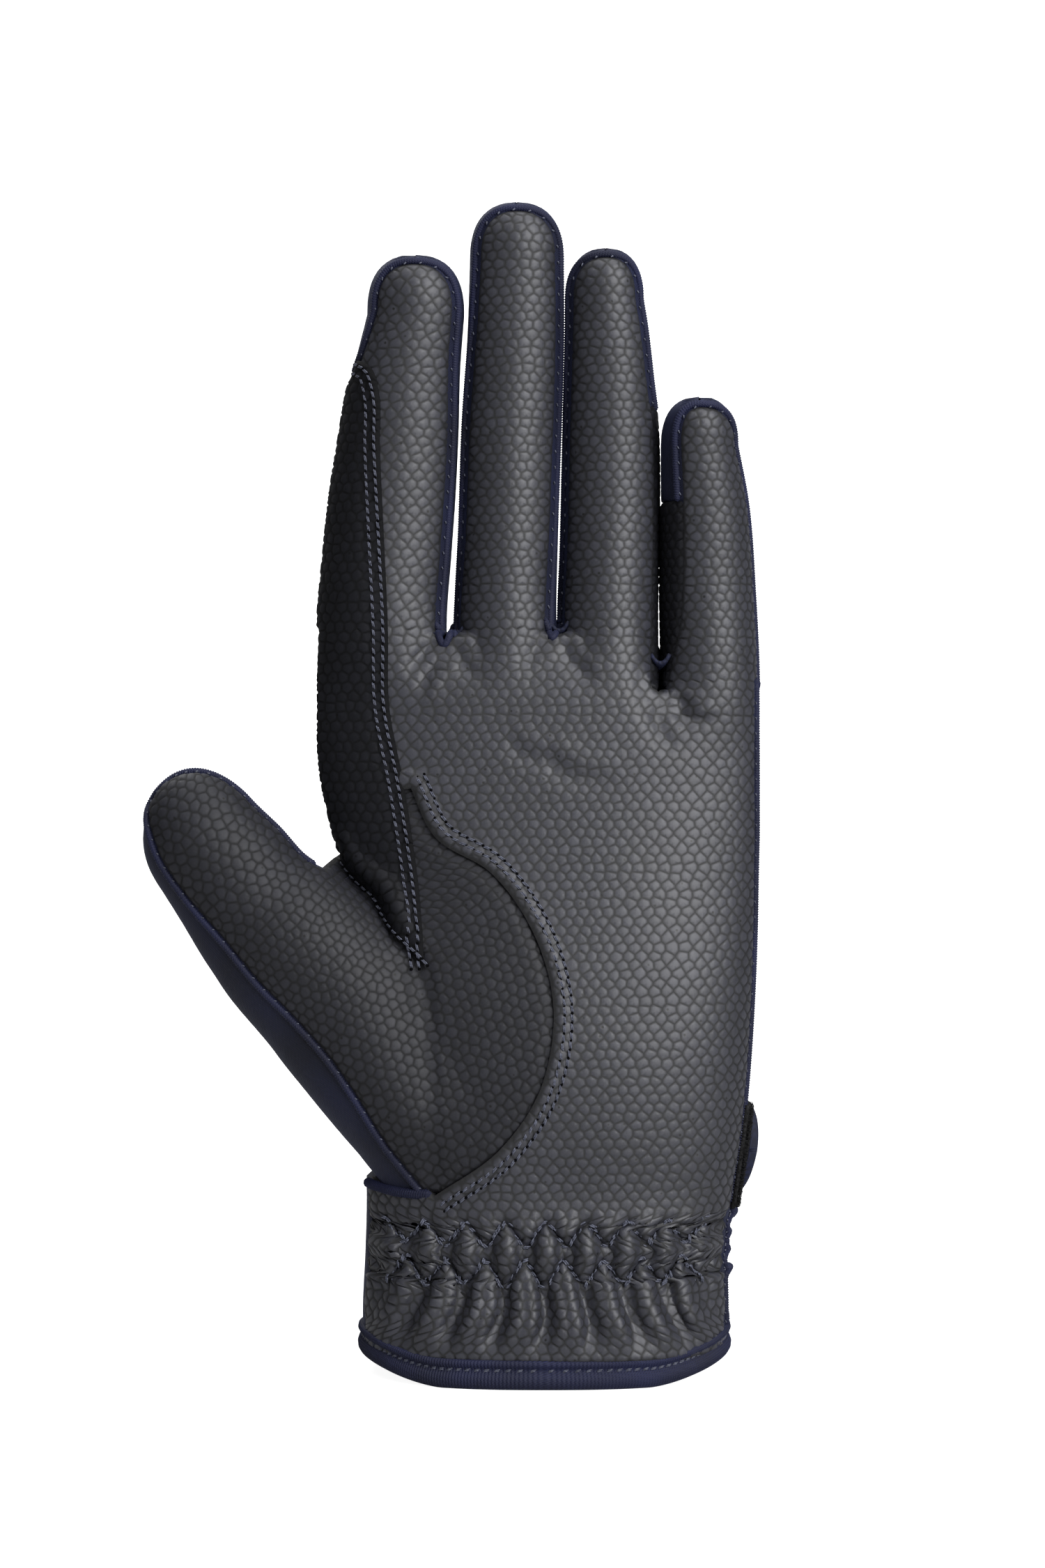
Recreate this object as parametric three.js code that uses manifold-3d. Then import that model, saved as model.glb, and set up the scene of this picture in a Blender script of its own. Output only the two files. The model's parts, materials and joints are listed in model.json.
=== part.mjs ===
// A left-hand riding glove that stands upright on its hem, filled out as if worn.
// Millimetres. +Z runs from the hem to the fingertips, -Y is the palm side, +X the little-finger side.
//
// The glove is a thin shell: an outer volume (palm, four fingers and a thumb, each a loft) less the same
// volume grown inwards by the wall. Narrow kerfs along the seams then cut that shell into the panels
// that the real glove is sewn from, and each panel is picked out by a point that lies on it.
import * as THREE from "three";
import { mergeVertices } from "three/addons/utils/BufferGeometryUtils.js";
import { LoftGeometry } from "three/addons/geometries/LoftGeometry.js";
import Module from "manifold-3d";

const wasm = await Module();
wasm.setup();

// ---- Driving dimensions

const WALL = 1.3;            // leather or fabric with its lining
const GAP = 0.36;            // clear space along every seam between two panels
const HINGE_GAP = 0.8;       // clear space across each knuckle
const KNUCKLE_Z = 149.5;     // where the index, middle and ring fingers leave the palm
const LITTLE_KNUCKLE_Z = 139;
const LITTLE_COLUMN_X = 23.5;  // the palm stops lower on the little-finger side of this line
const SIDE_SEAM_Y = -1;      // the plane where the palm side meets the back along the outline
const HEM_HEIGHT = 6;
const HEM_RISE = 4;          // how much higher the hem runs at the two sides of the wrist
const HEM_PROUD = 0.6;       // how far the binding stands out from the shell
const HEM_INSIDE = 2.0;
const PALM_FACETS = 32;
const FINGER_FACETS = 16;
const CORNER = 2.4;          // superellipse power of the palm's sections
const OPENING_X = 6;         // the slit at the back of the wrist
const OPENING_TOP = 60;
const OPENING_HALF = 2.5;
const STRAP_LOW = 33;
const STRAP_HIGH = 54;
const STRAP_HINGE_X = -15;
const LOOP_THICK = 1.3;
const HOOK_THICK = 1.2;
const STRAP_THICK = 1.8;
const FAR = 120;             // larger than the glove in every direction a cutter needs

// The palm and cuff: height, left edge, right edge, depth of the palm side, depth of the back.
const PALM = [
  [0, -35.5, 37, 22, 22],
  [12, -36, 37.4, 21.5, 21],
  [24, -35.5, 37.2, 19, 18.5],
  [36, -36, 38.8, 19, 17],
  [48, -38.5, 40.6, 20, 16],
  [60, -40, 41.8, 20.5, 15.5],
  [75, -41, 42.8, 19.5, 15],
  [90, -40.8, 43.4, 17, 14.5],
  [101, -39.9, 43.6, 15.4, 14.2],
  [110, -42.4, 43.8, 14.4, 13.8],
  [122, -44.9, 43.8, 13.4, 13.4],
  [135, -45.2, 43.8, 12.4, 12.5],
  [KNUCKLE_Z - HINGE_GAP / 2, -44.8, 43.6, 11.2, 11.2],
];

// Each finger: rows of height, centre x, half width, half depth; then its rounded tip. seams gives the
// distance from the centre line to the front-edge seams, as a share of the half width (0 has no strip).
const FINGERS = {
  index: {
    knuckle: KNUCKLE_Z,
    rows: [[134, -31.9, 12.7, 11], [150, -31.9, 12.7, 11], [165, -30.8, 12.6, 10.8],
      [176, -29.8, 12.4, 10.6], [190, -28.3, 11.6, 10.3], [203, -26.9, 10.6, 10],
      [213, -25.2, 9.7, 9.6]],
    reach: 11.5,
    radial: 0,
    ulnar: 0.83,
  },
  middle: {
    knuckle: KNUCKLE_Z,
    rows: [[134, -6.8, 9.9, 11], [153, -6.8, 9.9, 11], [171, -6.4, 9.9, 10.7],
      [189, -6, 9.9, 10.4], [212, -5.1, 9.6, 9.8], [223.7, -4.9, 9.4, 9.5]],
    reach: 11.4,
    radial: 0.83,
    ulnar: 0.83,
  },
  ring: {
    knuckle: KNUCKLE_Z,
    rows: [[126, 13.8, 9.6, 10.8], [153, 13.8, 9.6, 10.8], [167, 14.1, 9.5, 10.5],
      [182, 14.3, 9.4, 10.2], [200, 13.9, 8.8, 9.8], [211, 13.3, 8.1, 9.4],
      [215.5, 12.9, 7.7, 9.2]],
    reach: 10.4,
    radial: 0.83,
    ulnar: 0.76,
  },
  little: {
    knuckle: LITTLE_KNUCKLE_Z,
    rows: [[122, 34.1, 9.6, 10], [140, 34.1, 9.5, 10], [157, 33.6, 9.2, 9.5],
      [176, 32.7, 8.4, 9], [186.5, 31.6, 7.4, 8.6]],
    reach: 9.6,
    radial: 0.74,
    ulnar: 0,
  },
};
const CURL = 5;              // how far forward each fingertip lies
const TIP_RINGS = [26, 50, 72];  // degrees round the domed end

// The thumb lies in the plane of the palm, along this direction, and hinges where it leaves the hand.
const THUMB_ALONG = new THREE.Vector3(-0.69, 0, 0.724).normalize();
const THUMB_ACROSS = new THREE.Vector3(-THUMB_ALONG.z, 0, THUMB_ALONG.x);
const THUMB_CROTCH = new THREE.Vector3(-39.8, 0, 101);
const THUMB_SEAM_Y = -6;
// Centre x and z, half width, half depth, centre y.
const THUMB = [
  [-21, 45, 11, 14, -4],
  [-30, 58, 14, 15, -5],
  [-40, 77, 17, 14, -6],
  [-51, 91, 15.2, 12.5, -7],
  [-60, 100.5, 13.2, 11, -7.5],
  [-66.5, 107.5, 11.8, 10, -8],
];
const THUMB_REACH = 13.5;

// Seams drawn on the palm plane, as points of x and z.
const THUMB_ARC = [[-26.4, 119], [-21, 108], [-10, 101], [-2, 90], [2.4, 73], [-1, 57], [-8, 47], [-21, 37.4]];
const PATCH_RIGHT = [[-30.6, 152], [-30, 134], [-26.2, 119], [-23.4, 96], [-23, 82]];
const PATCH_LEFT = [[-23, 82], [-32, 93], [-40, 103.5], [-56, 126]];
const THUMB_LEFT = [[-21, 37.4], [-40, 63], [-56.6, 85], [-70, 103], [-76, 112], [-86, 121]];
const GUSSET_LOW = [[-70, 38.8], [-21, 37.4]];
const GUSSET_BACK = [[-48, 103.5], [-38, 102], [-36, 92], [-34, 62], [-33, 38.5], [-70, 38.8]];
const INDEX_PATCH = [[-60, 205], [-40, 204], [-34.6, 203], [-32.2, 199], [-32, 188], [-31, 160], [-30.6, 148]];

// ---- Solids

// A manifold solid from a closed three.js geometry.
function solid(geometry) {
  const plain = new THREE.BufferGeometry();
  plain.setAttribute("position", geometry.attributes.position);
  plain.setIndex(geometry.index);
  const merged = mergeVertices(plain, 1e-4);
  return new wasm.Manifold(new wasm.Mesh({
    numProp: 3,
    vertProperties: new Float32Array(merged.attributes.position.array),
    triVerts: new Uint32Array(merged.index.array),
  }));
}

function geometryOf(manifold) {
  const mesh = manifold.getMesh();
  const geometry = new THREE.BufferGeometry();
  const positions = new Float32Array((mesh.vertProperties.length / mesh.numProp) * 3);
  for (let i = 0; i < positions.length / 3; i++) {
    for (let k = 0; k < 3; k++) positions[i * 3 + k] = mesh.vertProperties[i * mesh.numProp + k];
  }
  geometry.setAttribute("position", new THREE.BufferAttribute(positions, 3));
  geometry.setIndex(new THREE.BufferAttribute(new Uint32Array(mesh.triVerts), 1));
  geometry.computeVertexNormals();
  return geometry;
}

const loft = (rings) => solid(new LoftGeometry(rings, { capStart: true, capEnd: true }));

const union = (solids) => solids.reduce((a, b) => a.add(b));

const cutAll = (body, cutters) => cutters.reduce((a, b) => a.subtract(b), body);

function box(x0, x1, y0, y1, z0, z1) {
  const geometry = new THREE.BoxGeometry(x1 - x0, y1 - y0, z1 - z0);
  return solid(geometry.translate((x0 + x1) / 2, (y0 + y1) / 2, (z0 + z1) / 2));
}

// An outline in x and z, carried through the glove from y0 to y1.
function prism(outline, y0, y1) {
  const shape = new THREE.Shape(outline.map(([x, z]) => new THREE.Vector2(x, z)));
  const geometry = new THREE.ExtrudeGeometry(shape, { depth: y1 - y0, bevelEnabled: false });
  return solid(geometry.rotateX(Math.PI / 2).translate(0, y1, 0));
}

// A narrow cut that follows a line of points in x and z, and runs on a little past both its ends.
function kerf(points, y0, y1) {
  const half = GAP / 2;
  const sides = [[], []];
  points.forEach(([x, z], i) => {
    const before = points[Math.max(i - 1, 0)];
    const after = points[Math.min(i + 1, points.length - 1)];
    const along = new THREE.Vector2(after[0] - before[0], after[1] - before[1]).normalize();
    const past = (i === 0 ? -1 : 0) + (i === points.length - 1 ? 1 : 0);
    const [atX, atZ] = [x + along.x * GAP * past, z + along.y * GAP * past];
    sides[0].push([atX - along.y * half, atZ + along.x * half]);
    sides[1].unshift([atX + along.y * half, atZ - along.x * half]);
  });
  return prism(sides.flat(), y0, y1);
}

const smooth = (points, steps) => new THREE.SplineCurve(points.map(([x, z]) => new THREE.Vector2(x, z)))
  .getPoints(steps).map((p) => [p.x, p.y]);

// ---- The skin of the palm and cuff

function palmRow(z) {
  const last = PALM.length - 2;
  let i = PALM.findIndex((row, k) => k > last || z <= PALM[k + 1][0]);
  i = Math.min(i, last);
  const share = (z - PALM[i][0]) / (PALM[i + 1][0] - PALM[i][0]);
  return PALM[i].map((value, k) => value + share * (PALM[i + 1][k] - value));
}

const power = (value) => Math.sign(value) * Math.abs(value) ** (2 / CORNER);

// The point of the outer skin at an angle round the palm (0 is +X, a quarter turn is the back), at a
// height, pushed out along the level normal.
function skin(angle, z, push = 0) {
  const at = (a) => {
    const [, left, right, front, back] = palmRow(z);
    const x = (left + right) / 2 + ((right - left) / 2) * power(Math.cos(a));
    return new THREE.Vector2(x, (Math.sin(a) > 0 ? back : front) * power(Math.sin(a)));
  };
  const step = 0.06;
  const along = at(angle + step).sub(at(angle - step)).normalize();
  const place = at(angle);
  return new THREE.Vector3(place.x + along.y * push, place.y - along.x * push, z);
}

const hemRise = (angle) => HEM_RISE * Math.max(0, (Math.abs(Math.cos(angle)) - 0.5) / 0.5) ** 1.5;

const turn = (share) => share * 2 * Math.PI;

const mix = THREE.MathUtils.lerp;

// A strip that lies round the wrist from one angle to another: a box bent to the skin. rows(angle)
// lists the heights up the strip; inner(angle) and outer(angle) push its two faces off the skin.
function band({ from, to, steps, rows, inner, outer }) {
  const layers = rows(from).length - 1;
  const geometry = new THREE.BoxGeometry(1, 1, 1, steps, 1, layers);
  const positions = geometry.attributes.position;
  for (let i = 0; i < positions.count; i++) {
    const angle = mix(to, from, positions.getX(i) + 0.5);
    const height = rows(angle)[Math.round((positions.getZ(i) + 0.5) * layers)];
    const push = positions.getY(i) < 0 ? inner(angle) : outer(angle);
    positions.setXYZ(i, ...skin(angle, height, push).toArray());
  }
  return solid(geometry);
}

function palmVolume(shrink) {
  const rings = PALM.map(([z], i) => {
    const top = i === PALM.length - 1;
    const ring = [];
    for (let k = 0; k < PALM_FACETS; k++) {
      const p = skin(turn(k / PALM_FACETS), z, -shrink);
      ring.push(top ? p.setZ(z - shrink) : p);
    }
    return ring;
  });
  const column = box(LITTLE_COLUMN_X - shrink, FAR, -FAR, FAR, LITTLE_KNUCKLE_Z - HINGE_GAP / 2 - shrink, FAR * 3);
  return loft(rings).subtract(column);
}

// ---- Tubes for the fingers and thumb

function ring(centre, across, halfWidth, halfDepth) {
  const points = [];
  for (let k = 0; k < FINGER_FACETS; k++) {
    const angle = turn(k / FINGER_FACETS);
    const p = centre.clone().addScaledVector(across, Math.cos(angle) * halfWidth);
    points.push(p.add(new THREE.Vector3(0, Math.sin(angle) * halfDepth, 0)));
  }
  return points;
}

// Rings along a tube that ends in a dome, and the same tube shrunk by the wall for its inside.
function tube(rows, along, across, reach, shrink) {
  const rings = rows.map(({ centre, width, depth }) => ring(centre, across, width - shrink, depth - shrink));
  const end = rows[rows.length - 1];
  for (const degrees of TIP_RINGS) {
    const angle = THREE.MathUtils.degToRad(degrees);
    const centre = end.centre.clone().addScaledVector(along, (reach - shrink) * Math.sin(angle));
    const share = Math.cos(angle);
    rings.push(ring(centre, across, (end.width - shrink) * share, (end.depth - shrink) * share));
  }
  return loft(rings);
}

const X = new THREE.Vector3(1, 0, 0);
const Z = new THREE.Vector3(0, 0, 1);

function fingerRows(finger) {
  const top = finger.rows[finger.rows.length - 1][0];
  return finger.rows.map(([z, x, width, depth]) => {
    const share = Math.max(0, (z - finger.knuckle) / (top - finger.knuckle));
    return { centre: new THREE.Vector3(x, -CURL * share * share, z), width, depth };
  });
}

const fingerTube = (finger, shrink) => tube(fingerRows(finger), Z, X, finger.reach, shrink);

function thumbTube(shrink) {
  const rows = THUMB.map(([x, z, width, depth, y]) => ({ centre: new THREE.Vector3(x, y, z), width, depth }));
  return tube(rows, THUMB_ALONG, THUMB_ACROSS.clone().negate(), THUMB_REACH, shrink);
}

// A box in the thumb's own directions: s runs down and away from the crotch, d along the thumb.
function thumbBox(s0, s1, d0, d1) {
  const corner = (s, d) => {
    const p = THUMB_CROTCH.clone().addScaledVector(THUMB_ACROSS, s).addScaledVector(THUMB_ALONG, d);
    return [p.x, p.z];
  };
  return prism([corner(s0, d0), corner(s1, d0), corner(s1, d1), corner(s0, d1)], -FAR, FAR);
}

// ---- The shells

const volume = (shrink) => union([
  palmVolume(shrink),
  ...Object.values(FINGERS).map((finger) => fingerTube(finger, shrink)),
  thumbTube(shrink),
]);

const hemTop = (angle) => HEM_HEIGHT + hemRise(angle);

// Everything below the binding's top edge is cut from the shell.
const belowHem = union([0, 0.5].map((start) => band({
  from: turn(start), to: turn(start + 0.525), steps: PALM_FACETS / 2 + 1,
  rows: (angle) => [-15, hemTop(angle) + GAP],
  inner: () => -8,
  outer: () => 6,
})));

const whole = volume(0).subtract(volume(WALL)).subtract(belowHem).subtract(box(-FAR, FAR, -FAR, FAR, -FAR, HEM_HEIGHT));
const aboveKnuckles = box(-60, LITTLE_COLUMN_X, -FAR, FAR, KNUCKLE_Z - HINGE_GAP / 2, FAR * 3)
  .add(box(LITTLE_COLUMN_X + 0.01, FAR, -FAR, FAR, LITTLE_KNUCKLE_Z - HINGE_GAP / 2, FAR * 3));
const thumbSide = thumbBox(-0.25, 60, -HINGE_GAP / 2, 80);
const handShell = whole.subtract(aboveKnuckles).subtract(thumbSide);
const thumbShell = whole.intersect(thumbBox(0.02, 60, HINGE_GAP / 2, 80));
const fingerShell = (finger) => fingerTube(finger, 0).subtract(fingerTube(finger, WALL))
  .intersect(box(-FAR, FAR, -FAR, FAR, finger.knuckle + HINGE_GAP / 2, FAR * 3));

// ---- Cutting along the seams

const FRONT = [-FAR, SIDE_SEAM_Y];
const BACK = [SIDE_SEAM_Y, FAR];
const BOTH = [-FAR, FAR];
const slab = (outline, y) => prism(outline, y - GAP / 2, y + GAP / 2);

// The panel that holds a probe: a thin rod through the wall, given by its two ends.
function pick(panels, [x0, x1], [y0, y1], [z0, z1], name) {
  const probe = box(x0, x1, y0, y1, z0, z1);
  let best = null;
  let most = 0;
  for (const panel of panels) {
    const shared = panel.intersect(probe).volume();
    if (shared > most) [best, most] = [panel, shared];
  }
  if (!best) throw new Error(`no panel at the probe for ${name}`);
  return best;
}

const rod = (v) => [v - 0.6, v + 0.6];
const onFront = (panels, x, z, name) => pick(panels, rod(x), FRONT, rod(z), name);
const onBack = (panels, x, z, name) => pick(panels, rod(x), BACK, rod(z), name);

const WEBS = {
  web_index_middle: [[-23.2, 150], [-18.4, 141.5], [-13.6, 150]],
  web_middle_ring: [[-0.4, 150], [3.6, 142], [7.6, 150]],
  web_ring_little: [[20.4, 150], [20.4, 139], [23.4, 131], [27.6, 140]],
};

function cutHand() {
  const [slitLeft, slitRight] = [OPENING_X - OPENING_HALF, OPENING_X + OPENING_HALF];
  const slit = prism([[slitLeft, -20], [slitRight, -20], [OPENING_X + 0.3, OPENING_TOP], [OPENING_X - 0.3, OPENING_TOP]], 0, FAR);
  const bindingLine = [[slitLeft - 3, -20], [OPENING_X - 2.6, OPENING_TOP + 1.5], [OPENING_X, OPENING_TOP + 3.4],
    [OPENING_X + 2.6, OPENING_TOP + 1.5], [slitRight + 3, -20]];
  const cutters = [
    slit,
    kerf(bindingLine, ...BACK),
    ...Object.values(WEBS).map((line) => kerf(line, ...BOTH)),
    kerf(smooth(THUMB_ARC, 14), ...FRONT),
    kerf(PATCH_RIGHT, ...FRONT),
    kerf(PATCH_LEFT, ...FRONT),
    kerf(THUMB_LEFT, ...FRONT),
    kerf(GUSSET_LOW, ...FRONT),
    kerf(GUSSET_BACK, ...BACK),
    slab([[30, -20], [60, -20], [60, 141], [30, 141]], SIDE_SEAM_Y),
    slab([[-60, -20], [-28, -20], [-28, 38.8], [-60, 38.8]], SIDE_SEAM_Y),
    slab([[-34, 88], [-34, 151], [-60, 151], [-60, 126], [-44, 107], [-41.5, 101], [-44, 96]], SIDE_SEAM_Y),
  ];
  const panels = cutAll(handShell, cutters).decompose();
  return {
    palm_panel: onFront(panels, 15, 90, "palm_panel"),
    thenar_panel: onFront(panels, -15, 72, "thenar_panel"),
    index_patch_base: onFront(panels, -36, 125, "index_patch_base"),
    back_panel: onBack(panels, -10, 90, "back_panel"),
    thumb_gusset: onBack(panels, -42, 72, "thumb_gusset"),
    vent_binding: onBack(panels, OPENING_X, OPENING_TOP + 1.4, "vent_binding"),
    web_index_middle: onFront(panels, -18.4, 146, "web_index_middle"),
    web_middle_ring: onFront(panels, 3.6, 146, "web_middle_ring"),
    web_ring_little: onFront(panels, 23, 135.5, "web_ring_little"),
  };
}

// The x of a finger's front-edge seam at each of its rows, out to where the seam runs off the tip.
function seamLine(finger, side, share) {
  const sign = side === "radial" ? -1 : 1;
  const line = finger.rows.map(([z, x, width]) => [x + sign * width * share, z]);
  const [topZ, topX, topWidth] = finger.rows[finger.rows.length - 1];
  line.push([topX + sign * topWidth * (share + 0.04), topZ + finger.reach * 0.22]);
  line.push([topX + sign * (topWidth + 3), topZ + finger.reach * 0.5]);
  return line;
}

// The part of a finger's outline that has no side strip, where front and back meet edge to edge.
function meetingOutline(finger) {
  const [topZ, topX] = finger.rows[finger.rows.length - 1];
  const right = finger.ulnar ? seamLine(finger, "ulnar", finger.ulnar) : [[topX + 30, 100], [topX + 30, topZ]];
  const left = finger.radial ? seamLine(finger, "radial", finger.radial) : [[topX - 30, 100], [topX - 30, topZ]];
  return [...right, [topX + 30, topZ + 30], [topX - 30, topZ + 30], ...left.reverse()];
}

function cutFinger(name, extraCuts = []) {
  const finger = FINGERS[name];
  const cutters = [slab(meetingOutline(finger), SIDE_SEAM_Y), ...extraCuts];
  if (finger.radial) cutters.push(kerf(seamLine(finger, "radial", finger.radial), ...BOTH));
  if (finger.ulnar) cutters.push(kerf(seamLine(finger, "ulnar", finger.ulnar), ...BOTH));
  return cutAll(fingerShell(finger), cutters).decompose();
}

const onSide = (panels, x0, x1, z, name) => pick(panels, [x0, x1], rod(-3.5), rod(z), name);

function cutFingers() {
  const index = cutFinger("index", [kerf(INDEX_PATCH, ...FRONT)]);
  const middle = cutFinger("middle");
  const ringFinger = cutFinger("ring", [kerf([[18, 194.5], [30, 193.5]], ...BOTH).intersect(
    prism(stripOutline(FINGERS.ring, "ulnar"), ...BOTH))]);
  const little = cutFinger("little", [kerf([[18, 175.5], [30, 174.5]], ...BOTH).intersect(
    prism(stripOutline(FINGERS.little, "radial"), ...BOTH))]);
  return {
    index: {
      index_front: onFront(index, -25, 180, "index_front"),
      index_patch: onFront(index, -36, 180, "index_patch"),
      index_back: onBack(index, -28, 180, "index_back"),
      index_fourchette: onSide(index, -22, -8, 180, "index_fourchette"),
    },
    middle: {
      middle_front: onFront(middle, -6, 180, "middle_front"),
      middle_back: onBack(middle, -6, 180, "middle_back"),
      middle_fourchette_radial: onSide(middle, -22, -12, 180, "middle_fourchette_radial"),
      middle_fourchette_ulnar: onSide(middle, 0, 12, 180, "middle_fourchette_ulnar"),
    },
    ring: {
      ring_front: onFront(ringFinger, 14, 180, "ring_front"),
      ring_back: onBack(ringFinger, 14, 180, "ring_back"),
      ring_fourchette_radial: onSide(ringFinger, 0, 8, 180, "ring_fourchette_radial"),
      ring_rein_guard: onSide(ringFinger, 20, 30, 170, "ring_rein_guard"),
      ring_fourchette_ulnar: onSide(ringFinger, 20, 30, 205, "ring_fourchette_ulnar"),
    },
    little: {
      little_front: onFront(little, 34, 160, "little_front"),
      little_back: onBack(little, 34, 160, "little_back"),
      little_rein_guard: onSide(little, 20, 28, 160, "little_rein_guard"),
      little_fourchette_radial: onSide(little, 20, 28, 184, "little_fourchette_radial"),
    },
  };
}

function stripOutline(finger, side) {
  const share = finger[side];
  const line = seamLine(finger, side, share);
  const sign = side === "radial" ? -1 : 1;
  const inset = GAP / 3;
  const near = line.map(([x, z]) => [x - sign * inset, z]);
  const outside = near[0][0] + sign * 25;
  return [...near, [outside, near[near.length - 1][1]], [outside, near[0][1]]];
}

function cutThumb() {
  const meeting = [[-69.9, 103], [-76, 112], [-86, 121], [-84, 140], [-40, 125], [-37.5, 100.5], [-46, 93]];
  const panels = cutAll(thumbShell, [
    kerf(THUMB_LEFT, -FAR, THUMB_SEAM_Y),
    slab(meeting, THUMB_SEAM_Y),
  ]).decompose();
  return {
    thumb_front: onFront(panels, -56, 100, "thumb_front"),
    thumb_back: onBack(panels, -60, 100, "thumb_back"),
  };
}

// ---- Bands round the wrist

const flat = (value) => () => value;
const spread = (low, high, count) => Array.from({ length: count }, (_, i) => mix(low, high, i / (count - 1)));
const slitAngle = 0.222;     // the share of a full turn where the opening in the back starts and ends
const slitAngleEnd = 0.259;

const hemBinding = band({
  from: turn(slitAngleEnd), to: turn(slitAngle + 1), steps: PALM_FACETS,
  rows: (angle) => [hemRise(angle), hemTop(angle)],
  inner: flat(-HEM_INSIDE),
  outer: flat(HEM_PROUD),
});

const wristElastic = band({
  from: turn(0.54), to: turn(0.96), steps: 16,
  rows: () => [20, 24, 30],
  inner: flat(-WALL - GAP - 1),
  outer: flat(-WALL - GAP),
});

const careLabel = band({
  from: turn(0.31), to: turn(0.36), steps: 3,
  rows: () => [14, 24, 36, 40],
  inner: flat(-WALL - GAP - 0.6),
  outer: flat(-WALL - GAP),
});

const loopPad = band({
  from: turn(-0.03), to: turn(0.2), steps: 12,
  rows: () => [STRAP_LOW, 36, 48, STRAP_HIGH],
  inner: flat(GAP),
  outer: flat(GAP + LOOP_THICK),
});

const hookPad = band({
  from: turn(0.075), to: turn(0.175), steps: 6,
  rows: () => [STRAP_LOW + 1, 36, 48, STRAP_HIGH - 1],
  inner: flat(2 * GAP + LOOP_THICK),
  outer: flat(2 * GAP + LOOP_THICK + HOOK_THICK),
});

// The strap climbs from the skin at its sewn end to the top of the two pads, and ends in a half round.
const STRAP_LIFT = 3 * GAP + LOOP_THICK + HOOK_THICK;
const strapEnd = turn(0.035);
const strapPush = (angle) => mix(STRAP_LIFT, GAP, THREE.MathUtils.smoothstep(angle, turn(0.19), turn(0.3)));

function strapRows(angle) {
  const middle = (STRAP_LOW + STRAP_HIGH) / 2;
  const half = (STRAP_HIGH - STRAP_LOW) / 2;
  const share = Math.min(1, (angle - strapEnd) / turn(0.05));
  const tall = half * Math.sqrt(Math.max(0.04, 1 - (1 - share) ** 2));
  return spread(middle - tall, middle + tall, 5);
}

const strapWhole = band({
  from: strapEnd, to: turn(0.34), steps: 22,
  rows: strapRows,
  inner: strapPush,
  outer: (angle) => strapPush(angle) + STRAP_THICK,
});
const strap = strapWhole.intersect(box(STRAP_HINGE_X + HINGE_GAP / 2, FAR, -FAR, FAR, 0, FAR));
const strapBase = strapWhole.intersect(box(-FAR, STRAP_HINGE_X - HINGE_GAP / 2, -FAR, FAR, 0, FAR));

// ---- Materials and the scene graph

const LOOKS = {
  leather: { color: 0x3a3b42, roughness: 0.55 },
  navy: { color: 0x131a33, roughness: 0.75 },
  binding: { color: 0x181d38, roughness: 0.85 },
  hook: { color: 0x141416, roughness: 0.7 },
  loop: { color: 0x17171a, roughness: 1 },
  elastic: { color: 0x1c1c22, roughness: 0.9 },
  label: { color: 0xd8d8d4, roughness: 0.8 },
};

const NAVY = /back|fourchette|web|gusset|strap/;
const fixedLooks = {
  hem_binding: "binding", vent_binding: "binding", wrist_elastic: "elastic", care_label: "label",
  loop_pad: "loop", hook_pad: "hook",
};
const lookOf = (name) => fixedLooks[name] ?? (NAVY.test(name) ? "navy" : "leather");

const BODIES = {
  hand: {
    ...cutHand(),
    hem_binding: hemBinding,
    wrist_elastic: wristElastic,
    care_label: careLabel,
    loop_pad: loopPad,
    strap_base: strapBase,
  },
  ...cutFingers(),
  thumb: cutThumb(),
  strap: { strap, hook_pad: hookPad },
};

const glove = new THREE.Group();
for (const [bodyName, pieces] of Object.entries(BODIES)) {
  const body = new THREE.Group();
  body.name = `${bodyName}_body`;
  for (const [name, piece] of Object.entries(pieces)) {
    const look = LOOKS[lookOf(name)];
    const mesh = new THREE.Mesh(geometryOf(piece), new THREE.MeshStandardMaterial({ ...look, metalness: 0 }));
    mesh.name = name;
    body.add(mesh);
  }
  glove.add(body);
}

// The origin is the middle of the glove's box, at the hem.
const extent = new THREE.Box3().setFromObject(glove);
const middle = extent.getCenter(new THREE.Vector3());
glove.position.set(-middle.x, -middle.y, -extent.min.z);

export default glove;
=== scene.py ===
# %% [markdown]
# # A left-hand riding glove
# The glove stands on its hem, palm towards the camera, filled out as if a hand were in it. It is sewn
# from leather panels on the palm side and stretch fabric on the back. First the imported model is
# loaded: the pieces of the hand and the strap made below are hung on its bodies, and those of the
# fingers and the thumb are cut where they join the hand.

# %% Load the model and note its size
import json
import math
import bpy
import numpy as np
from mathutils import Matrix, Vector
from mathutils.geometry import delaunay_2d_cdt
from mathutils.kdtree import KDTree


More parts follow.
